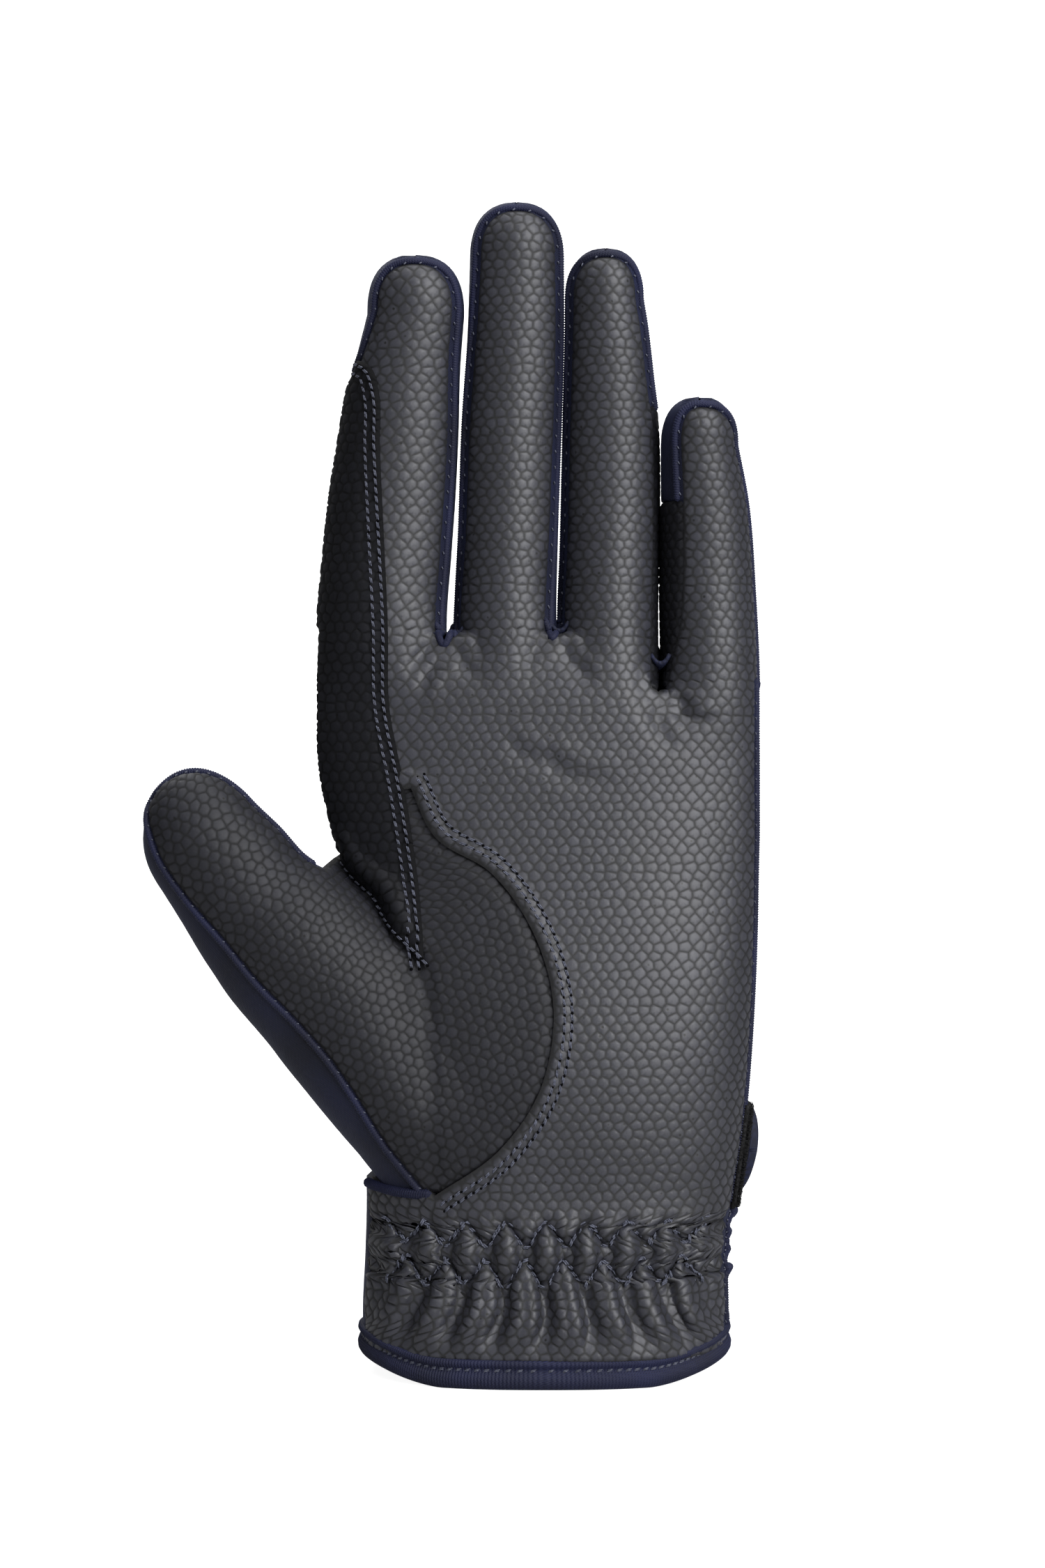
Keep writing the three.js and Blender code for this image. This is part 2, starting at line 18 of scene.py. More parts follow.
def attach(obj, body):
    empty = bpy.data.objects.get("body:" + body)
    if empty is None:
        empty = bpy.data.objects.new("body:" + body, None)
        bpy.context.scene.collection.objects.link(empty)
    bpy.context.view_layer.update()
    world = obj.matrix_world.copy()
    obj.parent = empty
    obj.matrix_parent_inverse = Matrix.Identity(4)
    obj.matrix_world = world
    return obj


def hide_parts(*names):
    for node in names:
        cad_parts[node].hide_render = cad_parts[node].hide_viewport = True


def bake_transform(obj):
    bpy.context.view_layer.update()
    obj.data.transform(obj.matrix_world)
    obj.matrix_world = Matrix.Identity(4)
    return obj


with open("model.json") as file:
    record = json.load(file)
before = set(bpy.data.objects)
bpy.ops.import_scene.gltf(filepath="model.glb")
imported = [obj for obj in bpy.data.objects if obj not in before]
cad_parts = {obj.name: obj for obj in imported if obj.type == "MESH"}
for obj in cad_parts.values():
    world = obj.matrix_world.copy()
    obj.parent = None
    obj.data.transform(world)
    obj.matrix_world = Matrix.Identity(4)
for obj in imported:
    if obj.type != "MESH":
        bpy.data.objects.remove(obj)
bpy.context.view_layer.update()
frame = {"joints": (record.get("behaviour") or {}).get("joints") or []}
for thing in bpy.context.selected_objects:
    thing.select_set(False)
JOINTS = {joint["name"]: joint for joint in frame["joints"]}
MM = 0.001
MIDDLE_X = -6.8                      # the middle finger's centre line, in the glove's own millimetres
SHIFT = JOINTS["middle_flex"]["pos_m"][0] / MM - MIDDLE_X
KNUCKLE_Z = JOINTS["middle_flex"]["pos_m"][2] / MM
LITTLE_KNUCKLE_Z = JOINTS["little_flex"]["pos_m"][2] / MM


def metres(points):
    """Points in the glove's own millimetres, turned into the model's frame in metres."""
    return (np.asarray(points, float) + [SHIFT, 0, 0]) * MM


# %% [markdown]
# ## Camera, backdrop and light
# The view looks straight at the palm, level with the middle of the glove. A long lens from 0.6 m
# keeps the fingers in proportion. The backdrop is a floor that curves up into a wall, so there is no
# horizon, and soft panels of light give the dark leather its broad, quiet highlights.

# %% Camera
VIEW_HEIGHT = 0.3184                 # how much the frame takes in from top to bottom
VIEW_DISTANCE = 0.6
VIEW_CENTRE = (-3.74, 118.6)
SENSOR = 36

camera_data = bpy.data.cameras.new("camera")
camera_data.sensor_width = SENSOR
camera_data.lens = SENSOR * VIEW_DISTANCE / VIEW_HEIGHT
camera = bpy.data.objects.new("camera", camera_data)
camera.location = metres([VIEW_CENTRE[0], 0, VIEW_CENTRE[1]]) - [0, VIEW_DISTANCE, 0]
camera.rotation_euler = (math.pi / 2, 0, 0)
bpy.context.scene.collection.objects.link(camera)
bpy.context.scene.camera = camera
print("lens", round(camera_data.lens, 1), "mm")

# %% Mesh helpers
def unit(vectors):
    """The same directions, each one unit long."""
    return vectors / np.maximum(np.linalg.norm(vectors, axis=-1, keepdims=True), 1e-12)


def length_along(points):
    """How far along a line each of its points is."""
    return np.concatenate([[0], np.cumsum(np.linalg.norm(np.diff(points, axis=0), axis=1))])


def lay_pattern(mesh, pattern):
    """Keeps each point's place on its flat pattern, in centimetres, as a UV map for the weaves."""
    uv = mesh.uv_layers.new(name="pattern")
    corner = np.empty(len(mesh.loops), int)
    mesh.loops.foreach_get("vertex_index", corner)
    uv.data.foreach_set("uv", (pattern[corner] * 0.1).ravel())
    return corner


def new_mesh(name, vertices, faces, smooth=True):
    """An object from points in metres and faces, at the origin."""
    mesh = bpy.data.meshes.new(name)
    mesh.from_pydata([tuple(v) for v in np.asarray(vertices).tolist()], [], faces)
    mesh.update()
    if smooth:
        mesh.polygons.foreach_set("use_smooth", [True] * len(mesh.polygons))
    piece = bpy.data.objects.new(name, mesh)
    bpy.context.scene.collection.objects.link(piece)
    return piece


# %% Floor and backdrop
STAGE_HALF = 1.6
STAGE_FRONT = -1.2
STAGE_BACK = 0.5
STAGE_BEND = 0.45
STAGE_TOP = 1.8

profile = [(STAGE_FRONT, 0.0), (STAGE_BACK, 0.0)]
for step in range(1, 13):
    angle = step / 12 * math.pi / 2
    profile.append((STAGE_BACK + STAGE_BEND * math.sin(angle), STAGE_BEND * (1 - math.cos(angle))))
profile.append((STAGE_BACK + STAGE_BEND, STAGE_TOP))
stage_points = [(side * STAGE_HALF, y, z) for y, z in profile for side in (-1, 1)]
stage_faces = [(2 * i, 2 * i + 1, 2 * i + 3, 2 * i + 2) for i in range(len(profile) - 1)]
backdrop = new_mesh("backdrop", stage_points, stage_faces)
paper = bpy.data.materials.new("white_paper")
paper.use_nodes = True
paper_shader = paper.node_tree.nodes["Principled BSDF"]
paper_shader.inputs["Base Color"].default_value = (0.45, 0.45, 0.45, 1)
paper_shader.inputs["Roughness"].default_value = 0.9
paper_shader.inputs["Specular IOR Level"].default_value = 0.1
paper_shader.inputs["Emission Color"].default_value = (1, 1, 1, 1)
seen = paper.node_tree.nodes.new("ShaderNodeLightPath")
glow = paper.node_tree.nodes.new("ShaderNodeMath")
glow.operation = "MULTIPLY"
glow.inputs[1].default_value = 0.92
paper.node_tree.links.new(seen.outputs["Is Camera Ray"], glow.inputs[0])
paper.node_tree.links.new(glow.outputs["Value"], paper_shader.inputs["Emission Strength"])
backdrop.data.materials.append(paper)
print("backdrop faces", len(backdrop.data.polygons))

# %% Lights
def soft_light(name, place, aim, size, power):
    """A square panel of light that faces a point."""
    data = bpy.data.lights.new(name, "AREA")
    data.shape = "SQUARE"
    data.size = size
    data.energy = power
    lamp = bpy.data.objects.new(name, data)
    lamp.location = place
    lamp.rotation_euler = (Vector(aim) - Vector(place)).to_track_quat("-Z", "Y").to_euler()
    bpy.context.scene.collection.objects.link(lamp)
    return lamp


GLOVE_MIDDLE = (0, 0, 0.12)
soft_light("key", (0.72, -0.98, 0.5), GLOVE_MIDDLE, 0.9, 22.5)
soft_light("fill", (-0.6, -1.1, 0.6), GLOVE_MIDDLE, 0.8, 0.7)
soft_light("top", (0.2, -0.3, 1.1), GLOVE_MIDDLE, 0.7, 3.5)
soft_light("rim", (-0.3, 0.42, 0.75), GLOVE_MIDDLE, 0.4, 2.2)
soft_light("wall", (0.0, -0.1, 1.2), (0, 0.9, 0.2), 1.4, 11)
world = bpy.data.worlds.new("studio")
world.use_nodes = True
world.node_tree.nodes["Background"].inputs["Color"].default_value = (1, 1, 1, 1)
world.node_tree.nodes["Background"].inputs["Strength"].default_value = 0.08
bpy.context.scene.world = world
bpy.context.scene.view_settings.view_transform = "Standard"

# %% [markdown]
# ## The shape of the hand
# The glove's form is held in a few rows of numbers: at each height, how wide and how deep the palm
# or a finger is. A smooth curve through the rows gives every height in between. The palm side and
# the back are each one height field over the flat x and z of the pattern, which is how a glove
# maker thinks of it: flat panels that are pushed out by the hand.

# %% Smooth curves through a few rows
def smooth_table(rows):
    """A function that passes through every row (position, values...) without a corner or a bulge."""
    rows = np.array(rows, float)
    at = rows[:, 0]
    values = rows[:, 1:]
    steps = np.diff(at)[:, None]
    rise = np.diff(values, axis=0) / steps
    slopes = np.empty_like(values)
    slopes[0] = rise[0]
    slopes[-1] = rise[-1]
    slopes[1:-1] = (rise[:-1] * steps[1:] + rise[1:] * steps[:-1]) / (steps[1:] + steps[:-1])
    slopes[1:-1][rise[:-1] * rise[1:] <= 0] = 0

    def value(position):
        position = np.clip(np.asarray(position, float), at[0], at[-1])
        i = np.clip(np.searchsorted(at, position) - 1, 0, len(at) - 2)
        step = steps[i, 0]
        s = ((position - at[i]) / step)[..., None]
        step = step[..., None]
        return ((1 + 2 * s) * (1 - s) ** 2 * values[i] + s * (1 - s) ** 2 * step * slopes[i]
                + s * s * (3 - 2 * s) * values[i + 1] + s * s * (s - 1) * step * slopes[i + 1])

    return value


def smoothstep(low, high, value):
    s = np.clip((np.asarray(value, float) - low) / (high - low), 0, 1)
    return s * s * (3 - 2 * s)


def smooth_max(a, b, softness):
    return 0.5 * (a + b + np.sqrt((a - b) ** 2 + softness ** 2))


# %% Palm, fingers and thumb, row by row
CORNER = 2.4                         # how square the palm's cross-section is
PALM = smooth_table([                # height, left edge, right edge, depth of the palm side and of the back
    [0, -35.5, 37, 22, 22], [12, -36, 37.4, 21.5, 21], [24, -35.5, 37.2, 19, 18.5],
    [36, -35.2, 38.8, 19, 17], [48, -37.2, 40.6, 20, 16], [60, -40, 41.8, 20.5, 15.5],
    [75, -41, 42.8, 19.5, 15], [90, -40.8, 43.4, 17, 14.5], [101, -39.9, 43.6, 15.4, 14.2],
    [110, -42.4, 43.8, 14.4, 13.8], [122, -44.9, 43.8, 13.4, 13.4], [135, -45.2, 43.8, 12.4, 12.5],
    [149, -44.8, 43.6, 11.2, 11.2]])

# Height, centre x, half width, half depth. The last row is where the domed tip starts.
FINGERS = {
    "index": {"knuckle": KNUCKLE_Z, "reach": 11.5, "rows": [
        [110, -31.9, 12.7, 12], [150, -31.9, 12.7, 11], [165, -30.8, 12.6, 10.8],
        [176, -29.8, 12.4, 10.6], [190, -28.3, 11.6, 10.3], [203, -26.9, 10.6, 10], [213, -25.2, 9.7, 9.6]]},
    "middle": {"knuckle": KNUCKLE_Z, "reach": 11.4, "rows": [
        [110, -6.8, 9.9, 12], [153, -6.8, 9.9, 11], [171, -6.4, 9.9, 10.7], [189, -6, 9.9, 10.4],
        [212, -5.1, 9.6, 9.8], [223.7, -4.9, 9.4, 9.5]]},
    "ring": {"knuckle": KNUCKLE_Z, "reach": 10.4, "rows": [
        [110, 13.8, 9.6, 12], [153, 13.8, 9.6, 10.8], [167, 14.1, 9.5, 10.5], [182, 14.3, 9.4, 10.2],
        [200, 13.9, 8.8, 9.8], [211, 13.3, 8.1, 9.4], [215.5, 12.9, 7.7, 9.2]]},
    "little": {"knuckle": LITTLE_KNUCKLE_Z, "reach": 9.6, "rows": [
        [110, 34.1, 9.6, 11], [140, 34.1, 9.5, 10], [157, 33.6, 9.2, 9.5], [176, 32.7, 8.4, 9],
        [186.5, 31.6, 7.4, 8.6]]},
}
CURL = 5                             # how far the tips lean towards the palm side
DOME = 2.5                           # how square a fingertip is

# The thumb leans out in the plane of the palm. Its rows run along it from where it leaves the hand:
# distance, centre across, half width, half depth, centre depth.
THUMB_JOINT = JOINTS["thumb_flex"]
CROTCH = np.array([THUMB_JOINT["pos_m"][0] / MM - SHIFT, THUMB_JOINT["pos_m"][2] / MM])
ACROSS = -np.array([THUMB_JOINT["axis"][0], THUMB_JOINT["axis"][2]])
ALONG = np.array([ACROSS[1], -ACROSS[0]])
THUMB = smooth_table([
    [-53.5, 25, 12, 14, -4], [-37.9, 22.6, 14, 15, -5], [-26.7, 19.8, 16, 14.5, -5.5],
    [-17.2, 17.9, 17, 14, -6], [0.5, 17.4, 15.9, 12.6, -7], [6.5, 17.8, 14.4, 11.8, -7.1],
    [15.2, 16.8, 13.4, 11, -7.5], [23.5, 16.1, 12.4, 10.2, -8], [31.5, 15.1, 12.2, 10, -8],
    [37.3, 13.8, 12.2, 10, -8]])
THUMB_TOP = 23.5
THUMB_REACH = 13.8
THUMB_DOME = 2.0

for finger in FINGERS.values():
    finger["top"] = finger["rows"][-1][0]
    finger["tip"] = finger["top"] + finger["reach"]
    finger["at"] = smooth_table(finger["rows"])


def dome(height, top, reach, squareness):
    """How much of the full section is left at a height in the rounded tip: 1 below it, 0 at its end."""
    share = np.clip((height - top) / reach, 0, 1)
    return (1 - share ** squareness) ** (1 / squareness)


def finger_row(finger, z):
    """Centre x, half width, half depth and centre depth of a finger at a height."""
    z = np.asarray(z, float)
    values = finger["at"](z)
    size = dome(z, finger["top"], finger["reach"], DOME)
    share = np.clip((z - finger["knuckle"]) / (finger["top"] - finger["knuckle"]), 0, 1.2)
    return values[..., 0], values[..., 1] * size, values[..., 2] * size, -CURL * share ** 2


def thumb_place(x, z):
    """Distance along and across the thumb of a point in the palm's plane."""
    dx = x - CROTCH[0]
    dz = z - CROTCH[1]
    return dx * ALONG[0] + dz * ALONG[1], dx * ACROSS[0] + dz * ACROSS[1]


def thumb_row(q):
    q = np.asarray(q, float)
    values = THUMB(q)
    size = dome(q, THUMB_TOP, THUMB_REACH, THUMB_DOME)
    return values[..., 0], values[..., 1] * size, values[..., 2] * size, values[..., 3]


print("fingertips at", {name: finger["tip"] for name, finger in FINGERS.items()})

# %% [markdown]
# ## Folds and gathers
# A glove is never smooth where it bends or is drawn in. Three kinds of fold are added to the palm
# side: small creases that run down from each gap between the fingers, a fold where the thumb joins,
# and the gathers of the elasticated wrist. Each is a few lines of formula on the height field.

# %% Creases and wrist gathers
CREASES = [                          # start x and z, end x and z, depth, half width
    (-20.5, 147, -27.5, 139.5, 0.75, 1.3), (-18.5, 145, -25.5, 136, 0.65, 1.4),
    (-17.0, 145.5, -12.0, 139, 0.4, 1.5), (1.0, 147, -4.5, 141, 0.4, 1.4),
    (4.5, 146, 10.5, 138.5, 0.5, 1.6), (24.5, 137, 32.5, 134, 0.8, 1.1),
    (24.5, 134.5, 36, 130.5, 0.7, 1.2), (22.5, 133, 27.5, 124, 0.5, 1.8),
    (2, 122, 16, 117.5, 0.35, 2.2), (-6, 126, 8, 121, 0.3, 2.0), (-42, 106, -24, 82.5, 2.4, 1.7),
]
ROW_HIGH = 30                        # the two rows of zigzag stitches
ROW_LOW = 22.6
HIGH_CRESTS = (0.9, 7.85)            # one crest of the upper row, and the distance to the next
LOW_CRESTS = (4.3, 7.65)


def creases(x, z):
    total = 0.0
    for x0, z0, x1, z1, depth, half in CREASES:
        length = math.hypot(x1 - x0, z1 - z0)
        along = ((x1 - x0) / length, (z1 - z0) / length)
        s = (x - x0) * along[0] + (z - z0) * along[1]
        d = -(x - x0) * along[1] + (z - z0) * along[0] + 0.9 * np.sin(s * 0.35)
        fade = smoothstep(-2, 1, s) * (1 - smoothstep(length * 0.55, length, s))
        total = total - depth * fade * (np.exp(-(d / half) ** 2) - 0.55 * np.exp(-((d - 1.8 * half) / half) ** 2))
    return total


def zigzag(x, first, pitch):
    """A wave of straight legs between -1 and 1, with a crest at first and every pitch after it."""
    return 1 - 4 * np.abs((x - first) / pitch - np.round((x - first) / pitch))


def upper_row(x):
    return ROW_HIGH + 2.3 * zigzag(x, *HIGH_CRESTS)


def lower_row(x):
    return ROW_LOW + 2.6 * zigzag(x, *LOW_CRESTS)


def gathers(x, z):
    """Tall puffs between the two zigzag rows, and pleats that fan out from the lower row to the hem."""
    high = upper_row(x)
    low = lower_row(x)
    tall = np.cos(2 * np.pi * (x - HIGH_CRESTS[0]) / HIGH_CRESTS[1])
    share = np.clip((z - low) / np.maximum(high - low, 0.5), 0, 1)
    between = 2.1 * smoothstep(-0.5, 0.9, tall) * np.sin(np.pi * share) ** 0.8
    fan = (x - 1) * (1 - 0.012 * (ROW_LOW - z)) + 1 + 0.8 * np.sin(z * 0.3 + x * 0.09) * smoothstep(22, 12, z)
    pleat = np.cos(2 * np.pi * (fan - LOW_CRESTS[0]) / LOW_CRESTS[1])
    fine = np.cos(2 * np.pi * (fan - 2) / (LOW_CRESTS[1] * 0.47))
    fade = smoothstep(5.5, 13, z)
    below = fade * smoothstep(0, 2.5, low - z) * (2.5 * (smoothstep(-1.0, 0.7, pleat) - 0.62) + 0.3 * fine)
    above = 0.75 * np.exp(-((z - high - 2.6) / 2.4) ** 2) * smoothstep(-0.3, 1, -tall) * (z > high)
    pinch = np.exp(-((z - high) / 0.85) ** 2) + np.exp(-((z - low) / 0.85) ** 2)
    sides = smoothstep(0, 9, 37 - np.abs(x - 0.8))
    return sides * (between + below + above) - 1.1 * pinch * smoothstep(0, 8, 38 - np.abs(x))


# %% Height of the palm side and of the back
def crotch_height(x):
    """How far up the hand is still one piece: lower between the ring and little fingers."""
    return 149 - 11.5 * smoothstep(15, 25, x)


def palm_height(x, z, side):
    row = PALM(z)
    half = (row[..., 1] - row[..., 0]) / 2
    share = np.abs(x - (row[..., 0] + row[..., 1]) / 2) / half
    depth = row[..., 2 + side]
    inside = depth * (1 - np.minimum(share, 1) ** CORNER) ** (1 / CORNER)
    return inside - 3 * np.maximum(share - 1, 0) * half


def round_height(share, depth, half):
    """The height of an ellipse over its middle line, falling away below it outside the ellipse."""
    return depth * np.sqrt(np.maximum(0, 1 - share ** 2)) - 2 * np.maximum(np.abs(share) - 1, 0) * half


def fingers_height(x, z, side):
    total = np.full(np.broadcast(x, z).shape, -40.0)
    sign = (1, -1)[side]
    for finger in FINGERS.values():
        centre, half, depth, middle = finger_row(finger, z)
        half = np.maximum(half, 0.05)
        height = round_height((x - centre) / half, depth, half) - sign * middle
        total = np.maximum(total, np.where(z > finger["tip"], -40, height))
    return total


def thumb_height(x, z, side):
    q, r = thumb_place(x, z)
    centre, half, depth, middle = thumb_row(q)
    half = np.maximum(half, 0.05)
    height = round_height((r - centre) / half, depth, half) - (1, -1)[side] * middle
    start = 6 * smoothstep(-44, -60, q)
    return np.where(q > THUMB_TOP + THUMB_REACH, -40, height - start)


def hand_height(x, z, side):
    """How far the glove stands out from the middle plane: 0 the palm side, 1 the back."""
    x = np.asarray(x, float)
    z = np.asarray(z, float)
    low = crotch_height(x)
    apart = 0.8 * smoothstep(low - 15, low, z) + 0.2 * smoothstep(low - 1, low + 9, z)
    palm = palm_height(x, z, side)
    valley = palm - 2.2 - 60 * smoothstep(low - 0.8, low + 2.5, z)
    hand = palm * (1 - apart) + np.maximum(fingers_height(x, z, side), valley) * apart
    if side == 0:
        hand = hand + creases(x, z) + gathers(x, z)
    return smooth_max(hand, thumb_height(x, z, side), 2.5 + 2.5 * smoothstep(-5, -30, thumb_place(x, z)[0]))


print("palm and back stand out", [round(float(hand_height(5, 80, side)), 1) for side in (0, 1)], "mm")

# %% [markdown]
# ## Laying flat patterns on the hand
# A glove cutter draws panels flat and the hand bends them. A chart does the same here: u runs across
# a panel and t up it, both measured along the surface in real millimetres, and the chart answers with
# the point in space and the direction that the surface faces. Scales, stitches and seams are all
# drawn flat in u and t, so they keep their true size round the sides of a finger.

# %% Charts
class Chart:
    """A grid of sections of the hand. A section gives a key that grows along it, and its points."""

    def __init__(self, heights, section, middle, start=None, step=0.5):
        self.heights = np.asarray(heights, float)
        self.keys = []
        self.lengths = []
        curves = []
        for height in self.heights:
            key, curve, ruler = section(height)
            length = length_along(ruler)
            self.keys.append(key)
            self.lengths.append(length - np.interp(middle(height), key, length))
            curves.append(curve)
        self.u = np.arange(min(l[0] for l in self.lengths) - 3, max(l[-1] for l in self.lengths) + 3, step)
        grid = np.empty((len(self.heights), len(self.u), 3))
        for i, (length, curve) in enumerate(zip(self.lengths, curves)):
            for k in range(3):
                grid[i, :, k] = np.interp(self.u, length, curve[:, k])
            for end, beyond in ((0, self.u < length[0]), (-1, self.u > length[-1])):
                inner = 1 if end == 0 else -2
                slope = (curve[end] - curve[inner]) / (length[end] - length[inner])
                grid[i, beyond] = curve[end] + slope * (self.u[beyond] - length[end])[:, None]
        self.grid = grid
        if start is None:
            self.t = self.heights
        else:
            line = np.array([[np.interp(0, l, c[:, k]) for k in range(3)] for l, c in zip(self.lengths, curves)])
            self.t = start + length_along(line)
        self.normals = unit(np.cross(np.gradient(grid, axis=1), np.gradient(grid, axis=0)))

    def place(self, u, t):
        """The points and the outward directions at places on the pattern."""
        row = np.clip(np.interp(t, self.t, np.arange(len(self.t))), 0, len(self.t) - 1.001)
        column = np.clip((u - self.u[0]) / (self.u[1] - self.u[0]), 0, len(self.u) - 1.001)
        i = row.astype(int)
        j = column.astype(int)
        a = (row - i)[:, None]
        b = (column - j)[:, None]
        out = []
        for table in (self.grid, self.normals):
            low = table[i, j] * (1 - b) + table[i, j + 1] * b
            high = table[i + 1, j] * (1 - b) + table[i + 1, j + 1] * b
            out.append(low * (1 - a) + high * a)
        return out[0], unit(out[1])

    def across(self, key, height):
        """u at a key of the section at a height."""
        i = int(np.clip(np.searchsorted(self.heights, height) - 1, 0, len(self.heights) - 2))
        share = (height - self.heights[i]) / (self.heights[i + 1] - self.heights[i])
        low = np.interp(key, self.keys[i], self.lengths[i])
        high = np.interp(key, self.keys[i + 1], self.lengths[i + 1])
        return low + (high - low) * np.clip(share, 0, 1)

    def up(self, height):
        return float(np.interp(height, self.heights, self.t))


SIDE_REACH = 1.5                     # how far the back reaches round onto the palm side
WRAP = 1.4                           # how far round, in radians, a palm-side section reaches
INNER_SQUEEZE = 0.25                 # how much the depth of a finger counts on its sides next to other fingers
BORDER_ANGLE = 0.45                  # where, in radians, one finger's back ends and the next one's starts
VALLEY_BELOW = 9                     # the dips between the fingers start this far below a crotch
DOME_STEPS = 34


def chart_heights(low, top, reach):
    """Every half millimetre up to where a tip starts to round, and then closer and closer."""
    rise = np.sin(np.linspace(0, math.pi / 2 * 0.985, DOME_STEPS))
    return np.concatenate([np.arange(low, top, 0.5), top + reach * rise])


def curve_and_ruler(x, z, depth, finger):
    """A section, and the curve that its pattern is measured on: on the palm, without the dips between fingers."""
    curve = np.stack([x, depth(z), np.full_like(x, z)], 1)
    if finger:
        return curve, curve
    return curve, np.stack([x, depth(np.minimum(z, crotch_height(x) - VALLEY_BELOW)), np.full_like(x, z)], 1)


def front_section(middle, half, z, finger=True):
    angle = np.linspace(-WRAP, WRAP, 241)
    x = middle + half * np.sin(angle)
    return x, *curve_and_ruler(x, z, lambda height: -hand_height(x, height, 0), finger)


def back_section(middle, half, z, finger=True):
    """From the little-finger side, over the back, to the thumb side, and a little way onto the palm side."""
    angle = np.linspace(-SIDE_REACH, math.pi + SIDE_REACH, 481)
    x = middle + half * np.cos(angle)

    def depth(height):
        behind = hand_height(x, height, 1)
        return np.where(np.sin(angle) >= 0, behind, -np.maximum(hand_height(x, height, 0), -behind))

    return angle, *curve_and_ruler(x, z, depth, finger)


class HandSheet:
    """The palm side (0) or the back (1) of the hand and its four fingers as one flat pattern."""

    def __init__(self, side):
        self.side = side
        section = (front_section, back_section)[side]

        def palm_section(z):
            row = PALM(z)
            return section((row[0] + row[1]) / 2, (row[1] - row[0]) / 2, z, False)

        self.palm = Chart(np.arange(-1, 152, 0.5), palm_section, lambda z: (0, math.pi / 2)[side])
        self.fingers = {}
        for name, finger in FINGERS.items():
            start = finger["knuckle"]
            heights = chart_heights(start, finger["top"], finger["reach"])

            def finger_section(z, finger=finger, name=name):
                centre, half, depth, middle = finger_row(finger, z)
                key, curve, ruler = section(float(centre), float(half), z)
                if side == 0:
                    ruler = curve.copy()
                    inner = (ruler[:, 0] < centre) & (name != "index")
                    inner |= (ruler[:, 0] > centre) & (name != "little")
                    crown = curve[len(curve) // 2, 1]
                    ruler[inner, 1] = crown + (curve[inner, 1] - crown) * INNER_SQUEEZE
                return key, curve, ruler

            def line(z, finger=finger):
                return float(finger_row(finger, z)[0]) if side == 0 else math.pi / 2

            chart = Chart(heights, finger_section, line, start)
            offset = self.palm_across(float(finger_row(finger, start)[0]), start)
            self.fingers[name] = (chart, offset, start)
        reach = [(o + c.lengths[0][0], o + c.lengths[0][-1]) for c, o, _ in self.fingers.values()]
        if side == 1:
            low, high = BORDER_ANGLE, math.pi - BORDER_ANGLE
            reach = [(o + c.across(low, s), o + c.across(high, s)) for c, o, s in self.fingers.values()][::-1]
        self.borders = [(left[1] + right[0]) / 2 for left, right in zip(reach, reach[1:])]

    def palm_across(self, x, z):
        if self.side == 0:
            return self.palm.across(x, z)
        row = PALM(z)
        share = np.clip((x - (row[0] + row[1]) / 2) / ((row[1] - row[0]) / 2), -1, 1)
        return self.palm.across(math.acos(share), z)

    def finger_of(self, u, t):
        """Which finger's chart a place is on, counted from the index finger; -1 is the palm's."""
        column = np.full(len(u), -1)
        which = np.digitize(u, self.borders)
        which = which if self.side == 0 else 3 - which
        for i, (chart, offset, start) in enumerate(self.fingers.values()):
            column[(which == i) & (t > start)] = i
        return column

    def place(self, u, t):
        u = np.asarray(u, float)
        t = np.asarray(t, float)
        point, normal = self.palm.place(u, t)
        which = self.finger_of(u, t)
        for i, (chart, offset, start) in enumerate(self.fingers.values()):
            on = which == i
            if on.any():
                point[on], normal[on] = chart.place(u[on] - offset, t[on])
        return point, normal

    def draw(self, x, z, name=None):
        """The pattern place over a point of the palm's plane, on the palm or on a named finger."""
        if name is None or z <= self.fingers[name][2]:
            return self.palm_across(x, z), z
        chart, offset, start = self.fingers[name]
        if self.side == 0:
            return offset + chart.across(x, z), chart.up(z)
        centre, half, depth, middle = finger_row(FINGERS[name], z)
        return offset + chart.across(math.acos(float(np.clip((x - centre) / half, -1, 1))), z), chart.up(z)

    def turn(self, angle, z, name=None):
        """The pattern place at an angle round the section, on the back."""
        if name is None or z <= self.fingers[name][2]:
            return self.palm.across(angle, z), z
        chart, offset, start = self.fingers[name]
        return offset + chart.across(angle, z), chart.up(z)


class FingerSheet:
    """A hand sheet on which every place above the knuckle belongs to one finger."""

    def __init__(self, sheet, name):
        self.sheet = sheet
        self.chart, self.offset, self.start = sheet.fingers[name]

    def place(self, u, t):
        u = np.asarray(u, float)
        t = np.asarray(t, float)
        point, normal = self.sheet.palm.place(u, t)
        on = t > self.start
        if on.any():
            point[on], normal[on] = self.chart.place(u[on] - self.offset, t[on])
        return point, normal


palm_side = HandSheet(0)
print("palm side pattern:", palm_side.palm.grid.shape, "fingertips at t",
      {name: round(c[0].t[-1], 1) for name, c in palm_side.fingers.items()})

# %% [markdown]
# ## Scales as real geometry
# The leather is embossed with small rounded scales. A bump map could fake them, but the scales are
# large enough to catch the light at their edges, so each one is modelled. Seeds are laid in rows, half
# a scale apart, and nudged at random; every place belongs to its nearest seed, and the lines
# half-way between seeds are the grooves. Inside each cell a rounded ring marks where the flat top
# starts. One triangulation takes the grooves, the rings and the panel's outline.

# %% Flat-pattern helpers
def resample(points, step, closed=False):
    """Points a given distance apart along a line, with its corners kept."""
    points = [np.array(p, float) for p in points]
    pairs = list(zip(points, points[1:] + points[:1])) if closed else list(zip(points, points[1:]))
    out = []
    for a, b in pairs:
        count = max(1, int(round(np.linalg.norm(b - a) / step)))
        out.extend(a + (b - a) * k / count for k in range(count))
    if not closed:
        out.append(points[-1])
    return np.array(out)


